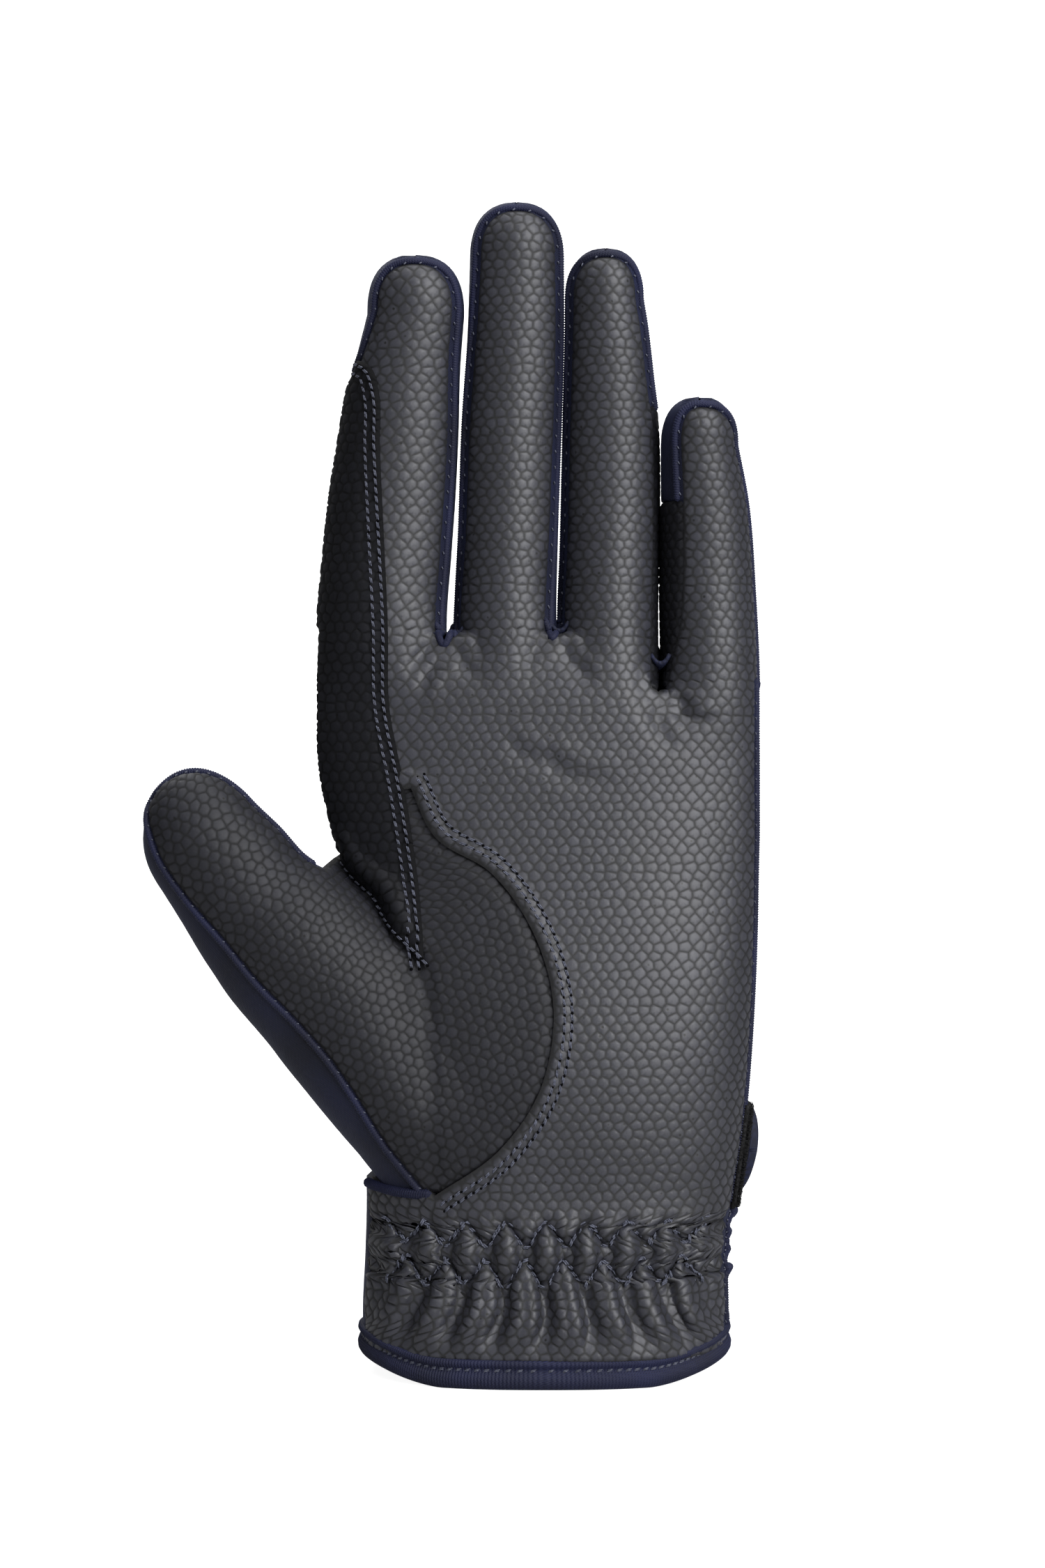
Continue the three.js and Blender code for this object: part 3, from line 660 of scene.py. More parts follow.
def spline(points, step=0.8):
    """A smooth line through a few points."""
    points = np.array(points, float)
    reach = length_along(points)
    curve = smooth_table(np.column_stack([reach, points]))
    return curve(np.linspace(0, reach[-1], max(2, int(reach[-1] / step) + 1)))


def inside(points, outline):
    """Which points are inside a closed outline."""
    x, y = np.asarray(points, float).T
    result = np.zeros(len(x), bool)
    for (x0, y0), (x1, y1) in zip(outline, np.roll(outline, -1, axis=0)):
        if y0 != y1:
            crosses = ((y0 > y) != (y1 > y)) & (x < (x1 - x0) * (y - y0) / (y1 - y0) + x0)
            result ^= crosses
    return result


def distance_to(points, line, closed=False):
    """The distance from each point to the nearest stretch of a line."""
    points = np.asarray(points, float)
    line = np.asarray(line, float)
    if closed:
        line = np.vstack([line, line[:1]])
    best = np.full(len(points), 1e9)
    for a, b in zip(line[:-1], line[1:]):
        d = b - a
        s = np.clip(((points - a) @ d) / max(d @ d, 1e-12), 0, 1)
        np.minimum(best, np.linalg.norm(points - a - s[:, None] * d, axis=1), out=best)
    return best


def triangulate(points, edges, outline=None):
    """Triangles inside an outline that keep to every edge; new points appear where edges cross."""
    outlines = [] if outline is None else [outline]
    out = delaunay_2d_cdt([Vector(p) for p in points], edges, outlines, 0, 1e-5, True)
    found = np.array([(v.x, v.y) for v in out[0]])
    triangles = np.array([f for f in out[2] if len(f) == 3], int).reshape(-1, 3)
    if outline is not None:
        triangles = triangles[inside(found[triangles].mean(1), np.asarray(points)[outline])]
    return found, triangles, out[3]


def anticlockwise(outline):
    """The same outline, turned round if it runs clockwise."""
    x, y = outline.T
    return outline[::-1] if (x * np.roll(y, -1) - y * np.roll(x, -1)).sum() < 0 else outline


def cut_line(first, last, t, count):
    """A straight cut across a pattern at t."""
    return np.column_stack([np.linspace(first, last, count), np.full(count, t)])


# %% Seeds and cells
RING = 12                            # points round a scale's flat top
BEVEL = 0.34                         # from the middle of a groove to the flat top
SCALE_DEPTH = 0.24
ROUNDNESS = 3.3                      # lower is rounder


def scale_seeds(low, high, row_step, width, seed):
    """Seeds in rows, half a scale out of step; width(u, t) is how wide a scale is there."""
    random = np.random.default_rng(seed)
    seeds = []
    fine = np.arange(low[0], high[0], 0.25)
    for k, t in enumerate(np.arange(low[1], high[1], row_step)):
        phase = np.cumsum(0.25 / np.broadcast_to(width(fine, t), fine.shape))
        phase -= np.interp(0, fine, phase)
        whole = np.arange(math.ceil(phase[0]), math.floor(phase[-1])) + 0.5 * (k % 2) + random.normal(0, 0.09)
        u = np.interp(whole, phase, fine)
        seeds.append(np.column_stack([u, np.full(len(u), t)]))
    seeds = np.vstack(seeds)
    nudge = random.normal(0, 1, seeds.shape).clip(-1.8, 1.8)
    return seeds + nudge * [0.14 * row_step, 0.11 * row_step]


def groove_pattern(seeds, outline):
    """The groove lines and the rings of the flat tops, as points and edges, near an outline."""
    points, triangles, _ = triangulate(seeds, [])
    a, b, c = (points[triangles[:, k]] for k in range(3))
    ab = b - a
    ac = c - a
    twice = 2 * (ab[:, 0] * ac[:, 1] - ab[:, 1] * ac[:, 0])
    ab2 = (ab ** 2).sum(1)
    ac2 = (ac ** 2).sum(1)
    away = np.column_stack([ac[:, 1] * ab2 - ab[:, 1] * ac2, ab[:, 0] * ac2 - ac[:, 0] * ab2])
    centres = a + away / twice[:, None]
    sides = np.sort(np.vstack([triangles[:, [0, 1]], triangles[:, [1, 2]], triangles[:, [2, 0]]]), axis=1)
    owner = np.tile(np.arange(len(triangles)), 3)
    order = np.lexsort((sides[:, 1], sides[:, 0]))
    sides = sides[order]
    owner = owner[order]
    same = (sides[1:] == sides[:-1]).all(1)
    grooves = np.column_stack([owner[:-1][same], owner[1:][same]])
    pairs = sides[:-1][same]
    near = inside(points, outline) | (distance_to(points, outline, True) < 3.2)
    grooves = grooves[near[pairs].all(1)]
    angle = np.arange(RING) / RING * 2 * math.pi
    total = np.zeros((len(points), RING))
    for first, second in ((0, 1), (1, 0)):
        toward = points[pairs[:, second]] - points[pairs[:, first]]
        length = np.linalg.norm(toward, axis=1)
        bearing = np.arctan2(toward[:, 1], toward[:, 0])
        cosine = np.maximum(0, np.cos(angle[None, :] - bearing[:, None]))
        share = (cosine / np.maximum(length / 2 - BEVEL, 0.12)[:, None]) ** ROUNDNESS
        np.add.at(total, pairs[:, first], share)
    radius = np.maximum(total, 1e-9) ** (-1 / ROUNDNESS)
    cells = np.where(near & (radius.max(1) < 3))[0]
    wheel = np.stack([np.cos(angle), np.sin(angle)], 1)
    rings = points[cells][:, None, :] + radius[cells][:, :, None] * wheel
    used, compact = np.unique(grooves, return_inverse=True)
    k = np.arange(RING)
    ring_edges = (len(used) + np.arange(len(cells))[:, None, None] * RING
                  + np.stack([k, (k + 1) % RING], 1)[None]).reshape(-1, 2)
    all_points = np.vstack([centres[used], rings.reshape(-1, 2), points[cells]])
    return all_points, np.vstack([compact.reshape(-1, 2), ring_edges]), points[near]


def scale_height(places, seeds):
    """0 in a groove, 1 on a flat top, and which scale each place is on."""
    tree = KDTree(len(seeds))
    for i, (u, t) in enumerate(seeds):
        tree.insert((u, t, 0), i)
    tree.balance()
    rise = np.empty(len(places))
    owner = np.empty(len(places), int)
    for i, (u, t) in enumerate(places):
        (first, n1, d1), (second, n2, d2) = tree.find_n((u, t, 0), 2)
        rise[i] = (d2 * d2 - d1 * d1) / (2 * (second - first).length)
        owner[i] = n1
    return smoothstep(0, BEVEL, rise), owner


def scale_tones(number, seeds, owner):
    """A random tone for every scale, the same all over it."""
    return np.random.default_rng(number).random(len(seeds) + 1)[np.minimum(owner, len(seeds))]


def scaled_pattern(outline, seeds, cuts=()):
    """The flat mesh of a scaled panel: places, triangles, scale height, scale number, edge distance."""
    outline = np.asarray(outline)
    points, edges, seeds = groove_pattern(seeds, outline)
    count = len(points)
    lines = [points, outline]
    edge_list = [tuple(e) for e in edges.tolist()]
    start = count + len(outline)
    for cut in cuts:
        lines.append(cut)
        edge_list.extend((start + i, start + i + 1) for i in range(len(cut) - 1))
        start += len(cut)
    ring = list(range(count, count + len(outline)))
    places, triangles, _ = triangulate(np.vstack(lines), edge_list, ring)
    rise, owner = scale_height(places, seeds)
    return places, triangles, rise, owner, distance_to(places, outline, True)

# %% [markdown]
# ## From a flat pattern to a thin solid
# Real leather has a thickness, a turned edge and a plain inner side. A panel's flat mesh is lifted
# onto the hand, a coarser copy is laid inside it, and a narrow wall joins the two all round, so each
# panel is a closed sheet. A palm that is cut at the knuckles keeps one set of normals on both sides
# of the cut, so no line shows while the hand is open.

# %% Closed sheets
FLATNESS = 0.55


def border_loops(triangles):
    """The outline of a mesh as closed runs of points, in the order of its faces."""
    sides = np.vstack([triangles[:, [0, 1]], triangles[:, [1, 2]], triangles[:, [2, 0]]])
    known = {tuple(s) for s in sides.tolist()}
    follows = {}
    for a, b in known:
        if (b, a) not in known:
            follows[a] = b
    loops = []
    while follows:
        first, at = follows.popitem()
        loop = [first]
        while at != first and at in follows:
            loop.append(at)
            at = follows.pop(at)
        if at == first and len(loop) > 2:
            loops.append(loop)
    return loops


def vertex_normals(points, triangles):
    a, b, c = (points[triangles[:, k]] for k in range(3))
    total = np.zeros_like(points)
    for k in range(3):
        np.add.at(total, triangles[:, k], np.cross(b - a, c - a))
    return unit(total)


def flat_topped(points, outward, triangles, rise):
    """Normals that keep the tops of the scales flat and leave the rounding to their edges."""
    share = (FLATNESS * rise)[:, None]
    return unit(vertex_normals(points, triangles) * (1 - share) + outward * share)


def closed_sheet(name, sheet, places, triangles, lift, thickness, values=None, normals=None, lattice=3.0):
    """A panel of a sheet's pattern, raised by lift and closed by an inner side under it."""
    used, triangles = np.unique(triangles, return_inverse=True)
    triangles = triangles.reshape(-1, 3)
    places = places[used]
    lift = lift[used]
    base, outward = sheet.place(places[:, 0], places[:, 1])
    outer = base + outward * lift[:, None]
    vertices = [outer]
    faces = [tuple(f) for f in triangles.tolist()]
    total = len(outer)
    for loop in border_loops(triangles):
        rim = places[loop]
        low = rim.min(0)
        high = rim.max(0)
        across, up = (np.arange(low[k], high[k], lattice) for k in range(2))
        spots = np.array([(u, t) for u in across for t in up]).reshape(-1, 2)
        spots = spots[inside(spots, rim)]
        spots = spots[distance_to(spots, rim, True) > lattice * 0.45]
        found, inner, origin = triangulate(np.vstack([rim, spots]), [], list(range(len(rim))))
        point, facing = sheet.place(found[:, 0], found[:, 1])
        vertices.append(point - facing * thickness)
        faces.extend((total + f[0], total + f[2], total + f[1]) for f in inner.tolist())
        below = {i: total + k for k, sources in enumerate(origin) for i in sources if i < len(rim)}
        for i in range(len(loop)):
            j = (i + 1) % len(loop)
            faces.append((loop[j], loop[i], below[i], below[j]))
        total += len(found)
    vertices = metres(np.vstack(vertices))
    piece = new_mesh(name, vertices, faces)
    mesh = piece.data
    corner = lay_pattern(mesh, np.vstack([places, vertices[len(places):, [0, 2]] / MM]))
    for key, value in (values or {}).items():
        layer = mesh.attributes.new(key, "FLOAT", "POINT")
        data = np.zeros(len(mesh.vertices), np.float32)
        data[:len(places)] = value[used]
        layer.data.foreach_set("value", data)
    if normals is not None:
        custom = np.zeros((len(mesh.loops), 3))
        outer_corners = len(triangles) * 3
        custom[:outer_corners] = normals[used][corner[:outer_corners]]
        mesh.normals_split_custom_set(custom.tolist())
    return piece


# %% [markdown]
# ## Leather
# Tanned goatskin with a matt pigment finish: nearly black, with a cold grey shine on the flat tops
# and less in the grooves, where polish never reaches. The slopes and grooves are also painted darker
# as shade. Fine grain and a few pores are a bump on the pattern's own millimetres. Each scale is a
# slightly different tone, as on a real skin.

# %% Material helpers
def material(name, colour, roughness, specular=0.5):
    """A principled material; returns it with its tree and its shader node."""
    made = bpy.data.materials.new(name)
    made.use_nodes = True
    shader = made.node_tree.nodes["Principled BSDF"]
    shader.inputs["Base Color"].default_value = (*colour, 1)
    shader.inputs["Roughness"].default_value = roughness
    shader.inputs["Specular IOR Level"].default_value = specular
    return made, made.node_tree, shader


def node(tree, kind, inputs=None, **settings):
    made = tree.nodes.new(kind)
    for key, value in settings.items():
        setattr(made, key, value)
    for key, value in (inputs or {}).items():
        if isinstance(value, bpy.types.NodeSocket):
            tree.links.new(value, made.inputs[key])
        else:
            made.inputs[key].default_value = value
    return made


def ramp(tree, value, stops):
    """A colour ramp through (position, colour) stops."""
    made = node(tree, "ShaderNodeValToRGB", {"Fac": value})
    ends = made.color_ramp.elements
    ends[0].position, ends[0].color = stops[0][0], (*stops[0][1], 1)
    ends[1].position, ends[1].color = stops[-1][0], (*stops[-1][1], 1)
    for position, colour in stops[1:-1]:
        ends.new(position).color = (*colour, 1)
    return made.outputs["Color"]


def bumps(tree, shader, layers):
    """Several heights laid over each other: (height, strength, distance in metres)."""
    below = None
    for height, strength, distance in layers:
        made = node(tree, "ShaderNodeBump", {"Height": height, "Strength": strength, "Distance": distance})
        if below:
            tree.links.new(below, made.inputs["Normal"])
        below = made.outputs["Normal"]
    tree.links.new(below, shader.inputs["Normal"])


# %% Leather materials
# The groove colour is painted shade: the leather gets darker from its flat tops down into the grooves.
GROOVE_SHADE_COLOUR = (0.0016, 0.0017, 0.0026)
TOP_COLOUR = (0.0215, 0.0222, 0.0300)


def leather_material(name, top, groove, roughness, specular=0.5):
    made, tree, shader = material(name, top, roughness, specular)
    rise = node(tree, "ShaderNodeAttribute", attribute_name="rise").outputs["Fac"]
    tone = node(tree, "ShaderNodeAttribute", attribute_name="tone").outputs["Fac"]
    place = node(tree, "ShaderNodeTexCoord").outputs["Object"]
    grain = node(tree, "ShaderNodeTexNoise", {"Vector": place, "Scale": 3200.0, "Detail": 3.0}).outputs["Fac"]
    cloud = node(tree, "ShaderNodeTexNoise", {"Vector": place, "Scale": 55.0, "Detail": 3.0}).outputs["Fac"]
    pores = node(tree, "ShaderNodeTexVoronoi", {"Vector": place, "Scale": 330.0}).outputs["Distance"]
    pore = ramp(tree, pores, [(0.05, (0, 0, 0)), (0.12, (1, 1, 1))])
    # Painted shade: by the scale's rise, the colour falls from the flat top over the slope to the groove colour.
    slope = tuple(a * 0.3 + b * 0.7 for a, b in zip(top, groove))
    base = ramp(tree, rise, [(0.0, groove), (0.45, slope), (1.0, top)])
    shade = node(tree, "ShaderNodeMath", {0: tone, 1: 0.3}, operation="MULTIPLY").outputs["Value"]
    cloud_part = node(tree, "ShaderNodeMath", {0: cloud, 1: 0.5}, operation="MULTIPLY").outputs["Value"]
    shade = node(tree, "ShaderNodeMath", {0: shade, 1: cloud_part}, operation="ADD").outputs["Value"]
    shade = node(tree, "ShaderNodeMath", {0: shade, 1: 0.6}, operation="ADD").outputs["Value"]
    coloured = node(tree, "ShaderNodeVectorMath", {0: base, 1: shade}, operation="MULTIPLY").outputs["Vector"]
    coloured = node(tree, "ShaderNodeVectorMath", {0: coloured, 1: pore}, operation="MULTIPLY").outputs["Vector"]
    tree.links.new(coloured, shader.inputs["Base Color"])
    dull = node(tree, "ShaderNodeMapRange", {"Value": rise, "To Min": roughness + 0.22, "To Max": roughness})
    patchy = {0: cloud, 1: 0.16, 2: dull.outputs["Result"]}
    patchy = node(tree, "ShaderNodeMath", patchy, operation="MULTIPLY_ADD")
    tree.links.new(patchy.outputs["Value"], shader.inputs["Roughness"])
    bumps(tree, shader, [(grain, 0.35, 0.00004), (pore, 0.3, 0.00005)])
    return made


leather = leather_material("leather", TOP_COLOUR, GROOVE_SHADE_COLOUR, 0.40)
# A far darker, less shiny leather for the patch and the rein guards: painted shade for pieces turned away from
# the light.
painted_shade_leather = leather_material("painted_shade_leather", (0.0040, 0.0042, 0.0065), (0.0010, 0.0011, 0.0018), 0.55, 0.18)
# The thumb's leather is darker and less shiny: painted shade for the thumb, which faces away from the key light.
thumb_leather_painted_shade = leather_material("thumb_leather_painted_shade", (0.0095, 0.0098, 0.0140), GROOVE_SHADE_COLOUR, 0.47, 0.30)
print("materials", leather.name, painted_shade_leather.name, thumb_leather_painted_shade.name)

# %% [markdown]
# ## The palm and the front of the fingers
# The maker cuts the palm and the four finger fronts as one piece of leather, called a trank. It is
# modelled whole and then divided at the knuckles into a piece for the palm and one for each finger.

# %% Seam lines of the fingers
# How far out the leather's edge lies, as a share of the finger's half width, at a few heights.
LEATHER_EDGE = {
    "index": {"left": [[140, 0.985], [196, 0.985], [206, 0.84], [213, 0.78]],
              "right": [[140, 0.87], [160, 0.86], [190, 0.85], [213, 0.80]]},
    "middle": {"left": [[140, 0.99], [150, 0.985], [166, 0.92], [195, 0.87], [223, 0.79]],
               "right": [[140, 0.76], [166, 0.84], [195, 0.88], [223, 0.85]]},
    "ring": {"left": [[140, 0.99], [160, 0.96], [190, 0.94], [215, 0.88]],
             "right": [[130, 0.90], [190, 0.93], [197, 0.86], [215, 0.80]]},
    "little": {"left": [[130, 0.96], [140, 0.92], [150, 0.68], [170, 0.57], [186, 0.56]],
               "right": [[120, 0.985], [176, 0.985], [186, 0.95]]},
}
TOP_MARGIN = 2.6                     # how far below the end of the fingertip the leather stops
for edges in LEATHER_EDGE.values():
    for key in edges:
        edges[key] = smooth_table(edges[key])


def leather_edge_x(name, side, z):
    """The x of the leather's edge on one side of a finger."""
    finger = FINGERS[name]
    centre, half, depth, middle = finger_row(finger, min(z, finger["top"]))
    size = dome(z, finger["top"], finger["reach"] - TOP_MARGIN, DOME)
    share = LEATHER_EDGE[name][side](z)[0]
    return float(centre) + (1 if side == "right" else -1) * float(half) * share * float(size)


def finger_edge(name, side, z0, z1=None, step=0.8):
    """The leather's edge up one side of a finger, as x and z, from a height to the top."""
    finger = FINGERS[name]
    top = finger["top"]
    heights = list(np.arange(z0, min(z1 or top, top), step))
    if z1 is None:
        reach = finger["reach"] - TOP_MARGIN
        heights += [top + reach * math.sin(a) for a in np.linspace(0, math.pi / 2, 22)]
    else:
        heights.append(z1)
    return [(leather_edge_x(name, side, z), z) for z in heights]


THUMB_ARC = [(-26.4, 119), (-21, 108), (-10, 101), (-2, 90), (2.4, 73), (-1, 57), (-8, 47), (-21, 37.4)]
PATCH_RIGHT = [(-30.6, 150), (-30.2, 134), (-27.4, 119), (-24, 96), (-23, 82)]
INDEX_PATCH = [(-38.6, 203.8), (-36.4, 203.4), (-33.6, 201.5), (-32.2, 197), (-32, 186),
               (-31.2, 165), (-30.6, 150)]
V_POINTS = {"index": (-19.4, 147.2), "middle": (2.3, 148.6), "ring": (23.6, 137.2)}   # left finger of each gap
HEM_SEAM = 5.0
WRIST_TOP = 39.5                     # the leather of the wrist runs up inside the gusset to here
arc = spline(THUMB_ARC, 0.7)
patch_right = spline(INDEX_PATCH + PATCH_RIGHT[1:], 0.8)


def draw_line(sheet, points, name=None):
    return [sheet.draw(x, z, name) for x, z in points]


def comb_outline():
    """Once round the palm leather, anticlockwise from the thumb side of the hem."""
    s = palm_side
    line = [s.draw(x, HEM_SEAM) for x in np.linspace(-34.6, 36.2, 90)]
    line += [s.draw(palm_edge_x(z, 1), z) for z in np.arange(5.8, LITTLE_KNUCKLE_Z, 0.8)]
    line += draw_line(s, finger_edge("little", "right", LITTLE_KNUCKLE_Z), "little")
    line += draw_line(s, finger_edge("little", "left", LITTLE_KNUCKLE_Z)[::-1], "little")
    line += [s.draw(*V_POINTS["ring"])]
    for name, other in (("ring", "middle"), ("middle", "index")):
        line += draw_line(s, finger_edge(name, "right", V_POINTS[name][1] + 0.8), name)
        line += draw_line(s, finger_edge(name, "left", KNUCKLE_Z)[::-1], name)
        line += [s.draw(*V_POINTS[other])]
    line += draw_line(s, finger_edge("index", "right", KNUCKLE_Z), "index")
    line += draw_line(s, finger_edge("index", "left", 201)[::-1], "index")
    under = [(x - 2.6, z) for x, z in patch_right if z < 200.5]
    line += [s.draw(x, z, "index" if z > KNUCKLE_Z else None) for x, z in under if z > 117]
    line += [s.draw(x, z) for x, z in arc if z < 118]
    line += [s.draw(x, WRIST_TOP) for x in np.linspace(-24, palm_edge_x(WRIST_TOP, -1), 16)]
    line += [s.draw(palm_edge_x(z, -1), z) for z in np.arange(WRIST_TOP - 0.6, 5.8, -0.8)]
    return tidy_outline(line)


def palm_edge_x(z, sign):
    row = PALM(z)
    return float((row[0] + row[1]) / 2 + sign * 0.985 * (row[1] - row[0]) / 2)


def tidy_outline(line, nearest=0.25):
    """An outline without points that sit almost on top of each other."""
    kept = [np.array(line[0], float)]
    for p in line[1:]:
        if np.linalg.norm(np.array(p) - kept[-1]) > nearest:
            kept.append(np.array(p, float))
    if np.linalg.norm(kept[-1] - kept[0]) < nearest:
        kept.pop()
    return np.array(kept)


# %% Palm leather
LEATHER = 0.9                        # thickness of the leather with its lining
comb = comb_outline()


def palm_scale_width(u, t):
    """Scales are widest on the little-finger side of the palm and under the index finger."""
    little_side = 0.36 * smoothstep(8, 32, u) * smoothstep(150, 120, t)
    return 2.42 + little_side + 0.4 * smoothstep(-18, -24, u) - 0.12 * smoothstep(140, 160, t)


seeds = scale_seeds(comb.min(0) - 4, comb.max(0) + 4, 1.74, palm_scale_width, 11)
knuckle_cuts = []
for name, x0, x1 in (("index", -48, -19), ("middle", -19, 2.4), ("ring", 2.4, 23.9), ("little", 23.9, 47)):
    z = FINGERS[name]["knuckle"]
    ends = sorted([palm_side.palm_across(x0, z), palm_side.palm_across(x1, z)])
    knuckle_cuts.append(cut_line(ends[0] - 0.5, ends[1] + 0.5, z, 30))
places, triangles, rise, owner, edge = scaled_pattern(comb, seeds, knuckle_cuts)
print("palm pattern:", len(seeds), "seeds", len(places), "places", len(triangles), "triangles")

arc_line = np.array([palm_side.draw(x, z) for x, z in arc])
near_arc = distance_to(places, arc_line)
lift = 0.3 + SCALE_DEPTH * rise * smoothstep(0.5, 1.5, edge) - 0.45 * smoothstep(0.9, 0, edge)
lift += 0.75 * smoothstep(4.2, 1.6, near_arc) * (places[:, 1] < 121)
lift -= 0.85 * smoothstep(37.2, 38.4, places[:, 1]) * smoothstep(-21.5, -23, places[:, 0]) * (places[:, 1] < 50)
# Towards the panel's edge the rise falls to 0, so the turned edge gets the painted groove shade.
values = {"rise": rise * smoothstep(0.2, 1.3, edge), "tone": scale_tones(5, seeds, owner)}
base, outward = palm_side.place(places[:, 0], places[:, 1])
shared_normals = flat_topped(base + outward * lift[:, None], outward, triangles, values["rise"])
which = palm_side.finger_of(*places[triangles].mean(1).T)
COMB_NODES = {-1: ("palm_panel", "hand"), 0: ("index_front", "index"), 1: ("middle_front", "middle"),
              2: ("ring_front", "ring"), 3: ("little_front", "little")}


def bend_finger(piece, name):
    """Bakes a finger piece's placing into its mesh; the piece is not hung on a body."""
    knuckle = FINGERS[name]["knuckle"]
    x = float(finger_row(FINGERS[name], knuckle)[0])
    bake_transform(piece)


def mount(piece, slot_name, stuff, body, node_name=None):
    """Gives a piece its material and hides the plain solid that it stands for; a piece whose body is not a finger
    or the thumb is hung on that body.
    """
    piece.data.materials.append(stuff)
    if body in FINGERS:
        bend_finger(piece, body)
    elif body == "thumb":
        bend_thumb(piece)
    else:
        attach(piece, body)
    if node_name:
        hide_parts(node_name)
    print(piece.name, "on the", body, len(piece.data.polygons), "faces")


for number, (node_name, body) in COMB_NODES.items():
    part = triangles[which == number]
    piece = closed_sheet(f"{node_name}_leather", palm_side, places, part, lift, LEATHER, values, shared_normals)
    mount(piece, "leather", leather, body, node_name)

# %% [markdown]
# ## The thumb
# The thumb's leather is one separate panel: it covers the ball of the thumb, runs under the palm's
# edge along the curved seam, and wraps the thumb to its inner side. Its chart is turned so that rows
# of scales run straight across the thumb. Below it a stretch gusset closes the outer side.

# %% Thumb charts
def thumb_spot(q, r):
    """The x and z of a place along and across the thumb."""
    return CROTCH[0] + ALONG[0] * q + ACROSS[0] * r, CROTCH[1] + ALONG[1] * q + ACROSS[1] * r


THUMB_START = -66.0                  # the pattern starts this far before the thumb's crease


class ThumbSheet:
    """The palm side (0) of the thumb and its ball, or the back (1), as a flat pattern."""

    def __init__(self, side):
        self.side = side
        heights = chart_heights(THUMB_START, THUMB_TOP, THUMB_REACH)
        middle = (lambda q: -12.0, lambda q: math.pi / 2)[side]
        self.chart = Chart(heights, self.section, middle, THUMB_START)

    def section(self, q):
        centre, half, depth, middle = (float(v) for v in thumb_row(q))
        if self.side == 0:
            inner = centre - half * 0.985 - 28 * smoothstep(10, 3.5, q)
            outer = centre + half * 0.985
            angle = np.linspace(-math.pi / 2, math.pi / 2, 241)
            r = (inner + outer) / 2 - (outer - inner) / 2 * np.sin(angle)
            x, z = thumb_spot(q, r)
            curve = np.stack([x, -hand_height(x, z, 0), z], 1)
            return -r, curve, curve
        key = np.linspace(-0.5, math.pi + 2.2, 401)
        x, z = thumb_spot(q, centre - half * np.cos(key))
        behind = hand_height(x, z, 1)
        y = np.where(np.sin(key) >= 0, behind, -np.maximum(hand_height(x, z, 0), -behind))
        curve = np.stack([x, y, z], 1)
        return key, curve, curve

    def place(self, u, t):
        return self.chart.place(np.asarray(u, float), np.asarray(t, float))

    def draw(self, x, z):
        q, r = thumb_place(x, z)
        return self.at(q, r)

    def at(self, q, r, palm_side_of_edge=False):
        if self.side == 0:
            return self.chart.across(-r, q), self.chart.up(q)
        centre, half, depth, middle = (float(v) for v in thumb_row(q))
        key = math.acos(float(np.clip((centre - r) / half, -1, 1)))
        return self.chart.across(2 * math.pi - key if palm_side_of_edge else key, q), self.chart.up(q)

    def turn(self, key, q):
        return self.chart.across(key, q), self.chart.up(q)


thumb_palm = ThumbSheet(0)
thumb_outer = ThumbSheet(1)

# The lower-left edge of the thumb's leather, from the wrist to the tip.
THUMB_EDGE = [(-23, 37.7), (-30.2, 47), (-37, 57.9), (-41.6, 64.4), (-48.7, 72.4), (-55.3, 79), (-62.8, 87.9),
              (-70.3, 96.4), (-75.4, 103.9), (-77.9, 110.4)]
PATCH_LEFT = [(-23, 82), (-27.4, 87.4), (-32, 93), (-40, 103.5)]
thumb_edge = spline(THUMB_EDGE, 0.7)


def tip_line(reach_share, width_share, start, end, steps=30):
    """Over the thumb's rounded tip, from its inner side (start 0) towards its outer side (end 1)."""
    line = []
    for a in np.linspace(start * math.pi, end * math.pi, steps):
        q = THUMB_TOP + THUMB_REACH * reach_share * math.sin(a)
        centre, half, depth, middle = (float(v) for v in thumb_row(min(q, THUMB_TOP + THUMB_REACH * 0.995)))
        full = float(THUMB(q)[1])
        line.append((q, centre - full * width_share * math.cos(a) * abs(math.cos(a)) ** (2 / THUMB_DOME - 1)))
    return line


def thumb_inner(q):
    """How far across the leather's edge lies on the inner side of the thumb."""
    return float(thumb_row(q)[0]) - 0.985 * float(thumb_row(q)[1])


def thenar_outline():
    """Anticlockwise on the turned pattern: up the inner side would be last, so it starts at the wrist."""
    s = thumb_palm
    under_arc = [(x + 1.6, z + 0.6) for x, z in arc]
    line = [s.draw(x, z) for x, z in under_arc[::-1]]
    line += [s.draw(x - 2.6, z) for x, z in patch_right if 91 < z < 118]
    line += [s.draw(x, z) for x, z in resample([(-26.8, 90.4), (-30.1, 94.6), (-38.1, 105.1), (-41, 104.6)], 0.8)]
    line += [s.at(q, thumb_inner(q)) for q in np.arange(3.5, THUMB_TOP, 0.8)]
    line += [s.at(q, r) for q, r in tip_line(0.985, 0.985, 0, 0.62)]
    line += [s.draw(x, z) for x, z in thumb_edge[::-1]]
    return tidy_outline(line)


thenar = thenar_outline()
print("thumb panel outline", len(thenar), "points, from", thenar.min(0).round(1), "to", thenar.max(0).round(1))


# %% Thumb leather
def thumb_scale_width(u, t):
    """Larger scales on the thumb, small ones over the joint and the ball."""
    return 1.95 + 0.55 * smoothstep(-3, 6, t) + 0.25 * smoothstep(-12, -30, t)


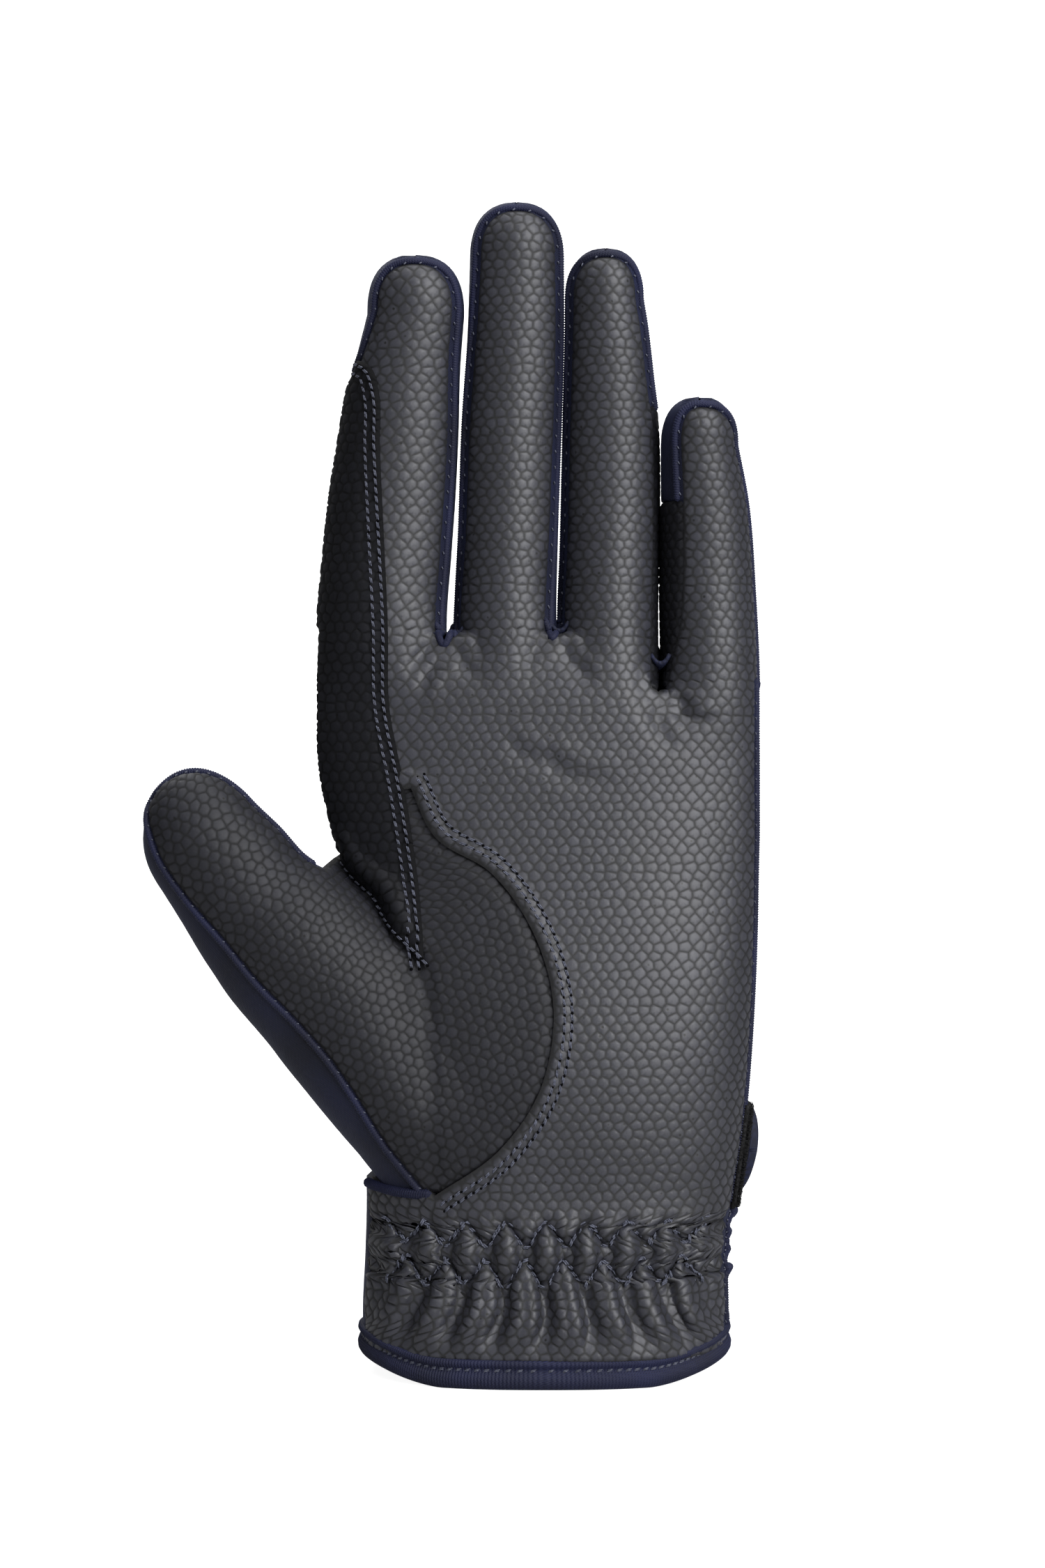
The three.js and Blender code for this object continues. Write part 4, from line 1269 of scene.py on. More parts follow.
thumb_seeds = scale_seeds(thenar.min(0) - 4, thenar.max(0) + 4, 1.98, thumb_scale_width, 23)
thumb_t = thumb_palm.chart.up(0)
cut = cut_line(thenar[:, 0].min() - 1, thenar[:, 0].max() + 1, thumb_t, 60)
places, triangles, rise, owner, edge = scaled_pattern(thenar, thumb_seeds, [cut])
under = np.array([thumb_palm.draw(x, z) for x, z in list(arc) + list(PATCH_LEFT)])
hidden = distance_to(places, under)
lift = 0.3 + SCALE_DEPTH * rise * smoothstep(0.4, 1.3, edge) - 0.45 * smoothstep(0.8, 0, edge)
lift -= 0.5 * smoothstep(2.6, 0.6, hidden)
# Towards the panel's edge the rise falls to 0, so the turned edge gets the painted groove shade.
values = {"rise": rise * smoothstep(0.2, 1.1, edge), "tone": scale_tones(6, thumb_seeds, owner)}
base, outward = thumb_palm.place(*places.T)
shared_normals = flat_topped(base + outward * lift[:, None], outward, triangles, values["rise"])
middles = places[triangles].mean(1)
on_thumb = (middles[:, 1] > thumb_t) & (middles[:, 0] < thumb_palm.at(2, -1)[0])


def bend_thumb(piece):
    """Bakes a thumb piece's placing into its mesh; the piece is not hung on a body."""
    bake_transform(piece)


for node_name, body, on in (("thenar_panel", "hand", ~on_thumb), ("thumb_front", "thumb", on_thumb)):
    part = triangles[on]
    piece = closed_sheet(f"{node_name}_leather", thumb_palm, places, part, lift, LEATHER, values, shared_normals)
    mount(piece, "leather", thumb_leather_painted_shade, body, node_name)

# %% [markdown]
# ## The reinforcing patch
# Reins wear through a glove beside the index finger, so a second layer of leather is sewn on there.
# It lies on top of the palm, from near the fingertip down to a point in the palm, with a turned edge.

# %% Index patch
PATCH_RAISE = 0.85                   # how far the patch lies above the palm's own leather
PATCH_UNDER = -0.35                  # its under side is this far above the hand, so below 0


def draw_index(x, z):
    """The pattern place of a point on the palm or, above the knuckle, on the index finger."""
    return palm_side.draw(x, z, "index" if z > KNUCKLE_Z else None)


def patch_outline():
    s = palm_side
    line = [s.draw(x, z) for x, z in resample(PATCH_LEFT[::-1], 0.8)[2:]]
    line += [draw_index(x, z) for x, z in patch_right[::-1]]
    line += [s.draw(leather_edge_x("index", "left", z), z, "index") for z in np.arange(203.4, KNUCKLE_Z, -0.8)]
    line += [s.draw(palm_edge_x(z, -1), z) for z in np.arange(KNUCKLE_Z, 104, -0.8)]
    return tidy_outline(line)


patch = patch_outline()
patch_seeds = scale_seeds(patch.min(0) - 4, patch.max(0) + 4, 2.0, lambda u, t: 2.4, 31)
cut = cut_line(patch[:, 0].min() - 1, palm_side.palm_across(-20, KNUCKLE_Z), KNUCKLE_Z, 40)
places, triangles, rise, owner, edge = scaled_pattern(patch, patch_seeds, [cut])
sewn = np.array([draw_index(x, z) for x, z in list(patch_right) + PATCH_LEFT])
from_seam = distance_to(places, sewn)
turned = smoothstep(0.9, 1.3, from_seam)
lift = 0.3 + PATCH_RAISE + SCALE_DEPTH * rise * turned * smoothstep(0.3, 1.0, edge)
lift -= 0.5 * smoothstep(0.7, 0, edge)
lift += 0.22 * np.exp(-((from_seam - 0.55) / 0.35) ** 2)
lift -= 0.3 * np.exp(-((from_seam - 1.9) / 0.5) ** 2) + 0.3 * np.exp(-((from_seam - 3.6) / 0.5) ** 2)
# Near the sewn edge the rise falls to 0, so the turned edge gets the painted groove shade.
values = {"rise": rise * turned, "tone": scale_tones(8, patch_seeds, owner)}
base, outward = palm_side.place(*places.T)
shared_normals = flat_topped(base + outward * lift[:, None], outward, triangles, values["rise"])
on_finger = places[triangles].mean(1)[:, 1] > KNUCKLE_Z
for node_name, body, on in (("index_patch_base", "hand", ~on_finger), ("index_patch", "index", on_finger)):
    part = triangles[on]
    name = f"{node_name}_leather"
    piece = closed_sheet(name, palm_side, places, part, lift, PATCH_UNDER, values, shared_normals)
    mount(piece, "leather", painted_shade_leather, body, node_name)

# %% [markdown]
# ## Stretch fabric
# The back, the thumb's gusset and the strips between the fingers are a dense navy knit. It shows as
# a very fine diagonal rib with a soft sheen at grazing angles, so the material pairs a small wave
# along each piece's own pattern with a sheen, and the mesh itself stays smooth.

# %% Fabric materials
def knit_material(name, colour, rib, sheen):
    made, tree, shader = material(name, colour, 0.72, 0.3)
    shader.inputs["Sheen Weight"].default_value = sheen
    shader.inputs["Sheen Roughness"].default_value = 0.4
    shader.inputs["Sheen Tint"].default_value = (0.35, 0.42, 0.9, 1)
    pattern = node(tree, "ShaderNodeUVMap", uv_map="pattern").outputs["UV"]
    turned = node(tree, "ShaderNodeMapping", {"Vector": pattern, "Rotation": (0, 0, 0.9)}).outputs["Vector"]
    wave = {"Vector": turned, "Scale": rib, "Distortion": 0.6, "Detail": 1.0}
    ribs = node(tree, "ShaderNodeTexWave", wave).outputs["Fac"]
    across = node(tree, "ShaderNodeMapping", {"Vector": pattern, "Rotation": (0, 0, -0.5)}).outputs["Vector"]
    wave = {"Vector": across, "Scale": rib * 0.8, "Distortion": 1.0}
    loops = node(tree, "ShaderNodeTexWave", wave).outputs["Fac"]
    place = node(tree, "ShaderNodeTexCoord").outputs["Object"]
    cloud = node(tree, "ShaderNodeTexNoise", {"Vector": place, "Scale": 70.0, "Detail": 4.0}).outputs["Fac"]
    darker = tuple(c * 0.6 for c in colour)
    lighter = tuple(c * 1.5 for c in colour)
    shade = ramp(tree, cloud, [(0.3, darker), (0.7, lighter)])
    weave = ramp(tree, ribs, [(0.0, (0.55, 0.55, 0.6)), (1.0, (1.2, 1.2, 1.15))])
    mixed = node(tree, "ShaderNodeVectorMath", {0: shade, 1: weave}, operation="MULTIPLY").outputs["Vector"]
    tree.links.new(mixed, shader.inputs["Base Color"])
    bumps(tree, shader, [(ribs, 0.5, 0.00006), (loops, 0.35, 0.00005)])
    return made


navy = knit_material("navy_stretch_fabric", (0.0030, 0.0046, 0.0190), 8.0, 0.06)
binding_cloth = knit_material("navy_binding", (0.0050, 0.0066, 0.0270), 9.0, 0.08)
print("fabrics", navy.name, binding_cloth.name)

# %% Plain panels
def plain_pattern(outline, spacing, cuts=()):
    """The flat mesh of a panel without scales."""
    outline = np.asarray(outline)
    low = outline.min(0)
    high = outline.max(0)
    spots = []
    for k, t in enumerate(np.arange(low[1], high[1], spacing * 0.87)):
        u = np.arange(low[0] + (k % 2) * spacing / 2, high[0], spacing)
        spots.append(np.column_stack([u, np.full(len(u), t)]))
    spots = np.vstack(spots)
    spots = spots[inside(spots, outline)]
    spots = spots[distance_to(spots, outline, True) > spacing * 0.5]
    lines = [outline, spots]
    edges = []
    start = len(outline) + len(spots)
    for cut in cuts:
        lines.append(cut)
        edges.extend((start + i, start + i + 1) for i in range(len(cut) - 1))
        start += len(cut)
    places, triangles, _ = triangulate(np.vstack(lines), edges, list(range(len(outline))))
    return places, triangles, distance_to(places, outline, True)


def sheet_normals(sheet, places, lift, triangles):
    base, outward = sheet.place(*places.T)
    return vertex_normals(base + outward * lift[:, None], triangles)


# %% [markdown]
# ## The back of the hand
# The back is one piece of stretch fabric from the wrist to all four fingertips. It wraps round the
# little-finger side and the index side to meet the leather, is slit at the wrist so that a hand can
# get in, and makes room for the thumb's gusset. Like the palm it is divided at the knuckles.

# %% Back panel and finger backs
OPENING_X = 6
OPENING_TOP = 60
OPENING_HALF = 2.5
WRAP_UNDER = 0.26                    # how far the fabric runs on under the leather's edge, in radians
BACK_SEAM = math.acos(0.80)          # where a finger's back meets the strip at its side
FABRIC = 0.7
back_side = HandSheet(1)


def slit_half(z):
    return 0.3 + (OPENING_HALF - 0.3) * (1 - z / OPENING_TOP)


def back_angle(x, z):
    row = PALM(z)
    return math.acos(float(np.clip((x - (row[0] + row[1]) / 2) / ((row[1] - row[0]) / 2), -1, 1)))


def finger_tip_heights(name, z0):
    finger = FINGERS[name]
    rise = finger["reach"] * np.sin(np.linspace(0, math.pi / 2 * 0.97, 16))
    return list(np.arange(z0, finger["top"], 1.2)) + list(finger["top"] + rise)


TUCK = 0.05                          # a share of the half width that fabric reaches under leather
GUSSET_SEAM = [(-32.6, 41), (-33.6, 62), (-34.5, 84), (-39.2, 94)]   # the back panel's edge at the thumb's gusset


def front_angle(name, side, z):
    """How far round the finger, from its side towards the palm, fabric has to reach under the leather."""
    centre, half, depth, middle = (float(v) for v in finger_row(FINGERS[name], z))
    share = abs(leather_edge_x(name, side, z) - centre) / max(half, 0.1)
    return math.acos(float(np.clip(share - TUCK, 0.05, 0.99)))


def back_outline():
    s = back_side
    little_side = -WRAP_UNDER
    index_side = math.pi + WRAP_UNDER
    slit = [(x, z) for z in np.linspace(HEM_SEAM, OPENING_TOP, 30) for x in [OPENING_X + slit_half(z)]]
    line = [s.turn(a, HEM_SEAM) for a in np.linspace(little_side, back_angle(slit[0][0], HEM_SEAM), 30)]
    line += [s.turn(back_angle(x, z), z) for x, z in slit]
    line += [s.turn(back_angle(2 * OPENING_X - x, z), z) for x, z in slit[::-1]]
    far_lip = back_angle(slit[0][0] - 2 * OPENING_HALF, HEM_SEAM)
    line += [s.turn(a, HEM_SEAM) for a in np.linspace(far_lip, index_side, 40)]
    line += [s.turn(index_side, z) for z in np.arange(6, 39.5, 1.2)]
    line += [s.turn(back_angle(x, z), z) for x, z in spline(GUSSET_SEAM, 1.2)]
    line += [s.turn(index_side, z) for z in np.arange(95.5, KNUCKLE_Z, 1.2)]
    for name in ("index", "middle", "ring", "little"):
        heights = finger_tip_heights(name, FINGERS[name]["knuckle"] + 0.3)
        far = [math.pi - BACK_SEAM] * len(heights)
        near = [BACK_SEAM] * len(heights)
        if name == "index":
            under = [WRAP_UNDER + 0.45 * smoothstep(198, 206, z) for z in heights]
            far = [math.pi + max(u, front_angle(name, "left", z)) for u, z in zip(under, heights)]
        if name == "little":
            near = [-max(WRAP_UNDER, front_angle(name, "right", z)) for z in heights]
        line += [s.turn(a, z, name) for a, z in zip(far, heights)]
        line += [s.turn(a, z, name) for a, z in list(zip(near, heights))[::-1]]
    line += [s.turn(little_side, z) for z in np.arange(LITTLE_KNUCKLE_Z, HEM_SEAM + 0.5, -1.2)]
    return tidy_outline(line, 0.4)


outline = anticlockwise(back_outline())
cuts = []
for name, x0, x1 in (("index", -50, -17.5), ("middle", -17.5, 3.6), ("ring", 3.6, 24), ("little", 24, 50)):
    z = FINGERS[name]["knuckle"]
    ends = [back_side.turn(-0.5 if x1 > 45 else back_angle(x1, z), z)[0],
            back_side.turn(math.pi + 0.5 if x0 < -45 else back_angle(x0, z), z)[0]]
    cuts.append(cut_line(ends[0] - 0.4, ends[1] + 0.4, z, 24))
places, triangles, edge = plain_pattern(outline, 1.5, cuts)
lift = 0.12 - 0.25 * smoothstep(0.9, 0, edge)
shared_normals = sheet_normals(back_side, places, lift, triangles)
which = back_side.finger_of(*places[triangles].mean(1).T)
BACK_NODES = {-1: ("back_panel", "hand"), 0: ("index_back", "index"), 1: ("middle_back", "middle"),
              2: ("ring_back", "ring"), 3: ("little_back", "little")}
for number, (node_name, body) in BACK_NODES.items():
    part = triangles[which == number]
    piece = closed_sheet(f"{node_name}_fabric", back_side, places, part, lift, FABRIC, None, shared_normals)
    mount(piece, "navy_fabric", navy, body, node_name)

# %% [markdown]
# ## Between the fingers
# A narrow strip, the fourchette, runs up each side of a finger and gives it its depth. Where the rein
# passes between the ring and little fingers, the lower part of the strip is leather. At each crotch
# the two strips meet in a small saddle of fabric, which stays with the hand.

# %% Side strips
def finger_wrap_chart(name, low):
    """A chart right round one finger, which starts lower than the knuckle."""
    finger = FINGERS[name]

    def section(z):
        centre, half, depth, middle = finger_row(finger, z)
        return back_section(float(centre), float(half), z)

    return Chart(chart_heights(low, finger["top"], finger["reach"]), section, lambda z: math.pi / 2, low)


CROTCH_Z = {("index", "right"): 147.5, ("middle", "left"): 147.5, ("middle", "right"): 148.5,
            ("ring", "left"): 148.5, ("ring", "right"): 137.5, ("little", "left"): 137.5}
wraps = {name: finger_wrap_chart(name, 134) for name in FINGERS}
SIDE_NODES = [                       # finger, side, lowest and highest point, what it is made of, node
    ("index", "right", None, None, "navy", "index_fourchette"),
    ("middle", "left", None, None, "navy", "middle_fourchette_radial"),
    ("middle", "right", None, None, "navy", "middle_fourchette_ulnar"),
    ("ring", "left", None, None, "navy", "ring_fourchette_radial"),
    ("ring", "right", 194, None, "navy", "ring_fourchette_ulnar"),
    ("ring", "right", None, 194.6, "leather", "ring_rein_guard"),
    ("little", "left", 174.6, None, "navy", "little_fourchette_radial"),
    ("little", "left", None, 175.2, "leather", "little_rein_guard"),
]
WEB_OF = {"index_fourchette": "web_index_middle", "middle_fourchette_radial": "web_index_middle",
          "middle_fourchette_ulnar": "web_middle_ring", "ring_fourchette_radial": "web_middle_ring",
          "ring_rein_guard": "web_ring_little", "little_rein_guard": "web_ring_little"}


def side_outline(chart, name, side, low, high):
    heights = [z for z in finger_tip_heights(name, low) if high is None or z < high]
    if high is not None:
        heights.append(high)
    front = [front_angle(name, side, z) for z in heights]
    if side == "right":
        ahead = [(chart.across(-a, z), chart.up(z)) for a, z in zip(front, heights)]
        behind = [(chart.across(BACK_SEAM + 0.05, z), chart.up(z)) for z in heights]
        return tidy_outline(behind + ahead[::-1], 0.3)
    ahead = [(chart.across(math.pi + a, z), chart.up(z)) for a, z in zip(front, heights)]
    behind = [(chart.across(math.pi - BACK_SEAM - 0.05, z), chart.up(z)) for z in heights]
    return tidy_outline(ahead + behind[::-1], 0.3)


for name, side, low, high, stuff, node_name in SIDE_NODES:
    chart = wraps[name]
    low = low or CROTCH_Z[name, side]
    outline = side_outline(chart, name, side, low, high)
    knuckle = FINGERS[name]["knuckle"]
    t_cut = chart.up(knuckle)
    cuts = [cut_line(outline[:, 0].min() - 1, outline[:, 0].max() + 1, t_cut, 30)] if low < knuckle else []
    if stuff == "leather":
        strip_seeds = scale_seeds(outline.min(0) - 4, outline.max(0) + 4, 1.75, lambda u, t: 2.3, 41)
        places, triangles, rise, owner, edge = scaled_pattern(outline, strip_seeds, cuts)
        lift = 0.28 + 0.2 * rise * smoothstep(0.3, 1.2, edge) - 0.35 * smoothstep(0.7, 0, edge)
        values = {"rise": rise, "tone": scale_tones(9, strip_seeds, owner)}
    else:
        places, triangles, edge = plain_pattern(outline, 1.4, cuts)
        lift = np.full(len(places), 0.05)
        values = None
    normals = sheet_normals(chart, places, lift, triangles)
    above = places[triangles].mean(1)[:, 1] > t_cut
    # Leather strips take the leather darkened as painted shade.
    slot_name, cloth = ("leather", painted_shade_leather) if stuff == "leather" else ("navy_fabric", navy)
    ends = [(node_name, name, node_name, above), (f"{node_name}_base", "hand", WEB_OF.get(node_name), ~above)]
    for label, body, solid, on in ends:
        if on.any():
            part = triangles[on]
            piece = closed_sheet(f"{label}_strip", chart, places, part, lift, FABRIC, values, normals, 2.0)
            mount(piece, slot_name, cloth, body, solid)

# %% Saddles between the fingers
WEB_STEPS = 8


def web_saddle(name, left, right, low):
    """A small U of fabric across the crotch, from the palm side to the back."""
    z_side = low + 3.5
    left_row = finger_row(FINGERS[left], z_side)
    right_row = finger_row(FINGERS[right], z_side)
    x0 = float(left_row[0] + left_row[1]) - 0.9
    x1 = float(right_row[0] - right_row[1]) + 0.9
    middle = (x0 + x1) / 2
    half = max((x1 - x0) / 2, 1.6)
    floor = min(low, float(crotch_height(np.array(middle))))
    points = []
    for i in range(WEB_STEPS + 1):
        across = 2 * i / WEB_STEPS - 1
        x = middle + across * half
        z = low - 0.6 + 1.6 * across * across
        front = -float(hand_height(middle, floor - 1.2, 0)) + 2.6
        back = float(hand_height(middle, floor - 1.2, 1)) - 0.3
        for j in range(WEB_STEPS + 1):
            y = front + (back - front) * j / WEB_STEPS
            points.append((x, y, z + 1.2 * (2 * j / WEB_STEPS - 1) ** 2 - 0.8))
    row = WEB_STEPS + 1
    corners = [i * row + j for i in range(WEB_STEPS) for j in range(WEB_STEPS)]
    faces = [(k, k + row, k + row + 1, k + 1) for k in corners]
    piece = new_mesh(name, metres(points), faces)
    lay_pattern(piece.data, np.array(points)[:, :2])
    solid = piece.modifiers.new("thickness", "SOLIDIFY")
    solid.thickness = FABRIC * MM
    solid.offset = -1
    with bpy.context.temp_override(object=piece, active_object=piece):
        bpy.ops.object.modifier_apply(modifier=solid.name)
    return piece


SADDLES = [("web_index_middle", "index", "middle", 149.0), ("web_middle_ring", "middle", "ring", 150.0),
           ("web_ring_little", "ring", "little", 143.5)]
for node_name, left, right, low in SADDLES:
    mount(web_saddle(f"{node_name}_saddle", left, right, low), "navy_fabric", navy, "hand", node_name)

# %% [markdown]
# ## The outer side of the thumb
# The gusset and the thumb's back are fabric. They start under the leather's lower edge, turn round
# the outer side and cover the back as far as the hand's back panel and the thumb's inner side.

# %% Thumb fabric
# Where the gusset ends under the back panel, from the thumb's crotch down to inside the wrist.
GUSSET_UNDER = [(-33.5, 99.5), (-31.8, 88), (-31.8, 62), (-31.0, 44), (-28.5, 37), (-27, 33.5)]


def thumb_fabric_outline():
    s = thumb_outer
    front = []
    for x, z in thumb_edge:
        q, r = thumb_place(x, z)
        centre, half, depth, middle = (float(v) for v in thumb_row(q))
        r = min(r, centre + half * 0.95)
        front.append(s.at(q, r - 0.9, True))
    tip = [s.turn(a, THUMB_TOP + THUMB_REACH * 0.9996) for a in np.linspace(math.pi + 1.3, -0.45, 24)]
    down = np.arange(THUMB_TOP + 12.5, -2, -1.2)
    inner = [s.turn(-0.24 - 0.2 * smoothstep(THUMB_TOP, THUMB_TOP + 12, q), q) for q in down]
    back_edge = [s.draw(x, z) for x, z in spline(GUSSET_UNDER, 1.2)]
    return tidy_outline(front + tip + inner + back_edge, 0.4)


outline = anticlockwise(thumb_fabric_outline())
t_cut = thumb_outer.chart.up(0)
cut = cut_line(outline[:, 0].min() - 1, outline[:, 0].max() + 1, t_cut, 60)
places, triangles, edge = plain_pattern(outline, 1.4, [cut])
lift = 0.05 - 0.1 * smoothstep(0.9, 0, edge)
shared_normals = sheet_normals(thumb_outer, places, lift, triangles)
on_thumb = places[triangles].mean(1)[:, 1] > t_cut
for node_name, body, on in (("thumb_gusset", "hand", ~on_thumb), ("thumb_back", "thumb", on_thumb)):
    part = triangles[on]
    piece = closed_sheet(f"{node_name}_fabric", thumb_outer, places, part, lift, FABRIC, None, shared_normals)
    mount(piece, "navy_fabric", navy, body, node_name)

# %% [markdown]
# ## Piping and thread
# Leather and fabric meet in a ribbed cord of turned binding, and thread shows as short two-strand
# stitches. A cord is a tube whose radius swells at every rib; the ribs lean a little, as on a real
# bias-cut binding. One stitch is modelled once, as a capsule of few faces, and copied along a line.

# %% Tubes and stitches
CORD_SIDES = 10
CORD_STEP = 0.17


def tube_faces(rows, sides):
    """The faces of a closed tube, from rings of points that run one after the other."""
    faces = [(i * sides + k, (i + 1) * sides + k, (i + 1) * sides + (k + 1) % sides, i * sides + (k + 1) % sides)
             for i in range(rows - 1) for k in range(sides)]
    faces.append(tuple(range(sides)))
    faces.append(tuple((rows - 1) * sides + k for k in range(sides))[::-1])
    return faces


def cord_mesh(name, centres, outward, radius, rib, depth=0.13, lean=1.0, flat=1.0):
    """A ribbed tube along points; flat below 1 makes it wider than it is high."""
    along = unit(np.gradient(centres, axis=0))
    sideways = unit(np.cross(along, outward))
    outward = np.cross(sideways, along)
    reach = length_along(centres)
    angle = np.arange(CORD_SIDES) / CORD_SIDES * 2 * math.pi
    swell = 1 + depth * np.sin(2 * math.pi * reach[:, None] / rib + lean * angle[None, :])
    ends = np.sqrt(np.clip(np.minimum(reach, reach[-1] - reach) / radius, 0.02, 1))
    size = radius * swell * ends[:, None]
    points = (centres[:, None, :] + sideways[:, None, :] * (size * np.sin(angle))[:, :, None]
              + outward[:, None, :] * (size * flat * np.cos(angle))[:, :, None])
    count = len(centres)
    faces = tube_faces(count, CORD_SIDES)
    piece = new_mesh(name, metres(points.reshape(-1, 3)), [face[::-1] for face in faces])
    lay_pattern(piece.data, np.column_stack([np.repeat(reach, CORD_SIDES), np.tile(angle * radius, count)]))
    return piece


def shifted(line, aside):
    """A pattern line moved to its left by a distance."""
    line = np.asarray(line, float)
    along = unit(np.gradient(line, axis=0))
    return line + np.column_stack([-along[:, 1], along[:, 0]]) * aside


def even_line(line, step):
    """Points at even steps along a pattern line."""
    line = np.asarray(line, float)
    reach = length_along(line)
    at = np.linspace(0, reach[-1], max(2, int(round(reach[-1] / step)) + 1))
    return np.column_stack([np.interp(at, reach, line[:, 0]), np.interp(at, reach, line[:, 1])])


def smooth_line(line, passes=3):
    line = np.array(line, float)
    for _ in range(passes):
        line[1:-1] = (line[:-2] + 2 * line[1:-1] + line[2:]) / 4
    return line


def cord(name, sheet, line, aside=0.75, lift=0.1, radius=0.72, rib=0.5, lean=1.0):
    path = even_line(shifted(smooth_line(even_line(line, 0.5)), aside), CORD_STEP)
    point, outward = sheet.place(*path.T)
    return cord_mesh(name, smooth_line(point + outward * lift, 6), outward, radius, rib, lean=lean)


STRAND_RINGS = ((-0.5, 0.3), (-0.3, 0.95), (0.3, 0.95), (0.5, 0.3))


def strand_template(length, radius, sides=6):
    points = [(length * at, radius * size * math.cos(a), radius * size * math.sin(a))
              for at, size in STRAND_RINGS for a in np.arange(sides) / sides * 2 * math.pi]
    return np.array(points), tube_faces(len(STRAND_RINGS), sides)


def stitch_mesh(name, centres, along, outward, length, radius, strands=2, lean=0.16):
    """Short capsules of thread; two strands lie side by side and lean across the row."""
    outward = unit(outward)
    along = unit(along - outward * (along * outward).sum(1, keepdims=True))
    beside = np.cross(outward, along)
    template, faces = strand_template(length, radius)
    turned = template.copy()
    turned[:, 0] = template[:, 0] * math.cos(lean) - template[:, 1] * math.sin(lean)
    turned[:, 1] = template[:, 0] * math.sin(lean) + template[:, 1] * math.cos(lean)
    turned[:, 2] -= 0.9 * radius * (2 * turned[:, 0] / length) ** 2
    points = []
    for strand in range(strands):
        aside = (strand - (strands - 1) / 2) * 1.9 * radius
        shape = turned + [aside * 0.6, aside, 0]
        points.append(centres[:, None, :] + along[:, None, :] * shape[None, :, :1]
                      + beside[:, None, :] * shape[None, :, 1:2] + outward[:, None, :] * shape[None, :, 2:3])
    points = np.vstack([p.reshape(-1, 3) for p in points])
    starts = range(0, len(points), len(template))
    return new_mesh(name, metres(points), [tuple(v + start for v in face) for start in starts for face in faces])


def stitches(name, sheet, line, pitch, length, radius, strands=2, lean=0.16, aside=0.0, lift=0.7):
    path = even_line(shifted(smooth_line(even_line(line, 0.4), 1), aside), pitch)
    centres = (path[1:] + path[:-1]) / 2
    along = path[1:] - path[:-1]
    point, outward = sheet.place(*centres.T)
    ahead, _ = sheet.place(*(centres + along * 0.2).T)
    return stitch_mesh(name, point + outward * lift, ahead - point, outward, length, radius, strands, lean)


def needle_holes(name, sheet, line, pitch, aside, lift):
    """Dark capsules where the needle went through, between one stitch and the next: painted shade in the needle
    holes.
    """
    path = even_line(shifted(smooth_line(even_line(line, 0.4), 1), aside), pitch)
    point, outward = sheet.place(*path.T)
    ahead, _ = sheet.place(path[:, 0] + 0.1, path[:, 1])
    return stitch_mesh(name, point + outward * (lift - 0.30), ahead - point, outward, 0.62, 0.31, 1, 0)


thread, tree, shader = material("thread", (0.03, 0.033, 0.055), 0.6, 0.25)
place = node(tree, "ShaderNodeTexCoord").outputs["Object"]
fuzz = node(tree, "ShaderNodeTexNoise", {"Vector": place, "Scale": 2500.0, "Detail": 2.0}).outputs["Fac"]
twist = ramp(tree, fuzz, [(0.35, (0.034, 0.037, 0.054)), (0.65, (0.090, 0.096, 0.130))])
tree.links.new(twist, shader.inputs["Base Color"])
bumps(tree, shader, [(fuzz, 0.6, 0.00005)])
thread_dark = thread.copy()
thread_dark.name = "thread_dark"
for each in thread_dark.node_tree.nodes:
    if each.type == "VALTORGB":
        each.color_ramp.elements[0].color = (0.012, 0.013, 0.025, 1)
        each.color_ramp.elements[1].color = (0.035, 0.038, 0.062, 1)
# Nearly black: the painted shade inside a needle hole.
painted_hole_shade, tree, shader = material("needle_hole_shade", (0.0012, 0.0012, 0.0016), 0.9, 0.05)
print("thread", thread.name, thread_dark.name)

# %% [markdown]
# ## Piping round each finger
# The cord starts at one crotch, runs up the side of the finger, over the tip and down to the next
# crotch. Small stitches catch the leather's edge every three millimetres.

# %% Finger piping
RIGHT_FROM = {"index": 147.8, "middle": 149.2, "ring": 193.5, "little": 7.0}
LEFT_FROM = {"index": 200.5, "middle": 148.0, "ring": 149.4, "little": 175.0}
DOT_PITCH = 3.1
DOT = (0.75, 0.17, 1, 0.7, 0.12)     # length, radius, strands, lean and distance aside of an edge stitch


def finger_line(name, left_from, right_from):
    """The leather's edge up the left side, over the tip and down the right side, on the pattern."""
    knuckle = FINGERS[name]["knuckle"]
    s = palm_side
    line = []
    if left_from < knuckle:
        line += [s.draw(leather_edge_x(name, "left", knuckle), z) for z in np.arange(left_from, knuckle, 0.6)]
    line += draw_line(s, finger_edge(name, "left", max(left_from, knuckle)), name)
    line += draw_line(s, finger_edge(name, "right", max(right_from, knuckle))[::-1], name)
    if right_from < knuckle - 20:
        line += [s.draw(palm_edge_x(z, 1), z) for z in np.arange(knuckle, right_from, -0.8)]
    elif right_from < knuckle:
        line += [s.draw(leather_edge_x(name, "right", knuckle), z) for z in np.arange(knuckle, right_from, -0.6)]
    return tidy_outline(line, 0.3)


for name in FINGERS:
    line = finger_line(name, LEFT_FROM[name], RIGHT_FROM[name])
    own_sheet = FingerSheet(palm_side, name)
    piping = cord(f"{name}_piping", own_sheet, line)
    dots = stitches(f"{name}_edge_stitches", own_sheet, line, DOT_PITCH, *DOT, lift=0.32)
    mount(piping, "binding", binding_cloth, name)
    mount(dots, "binding", thread, name)

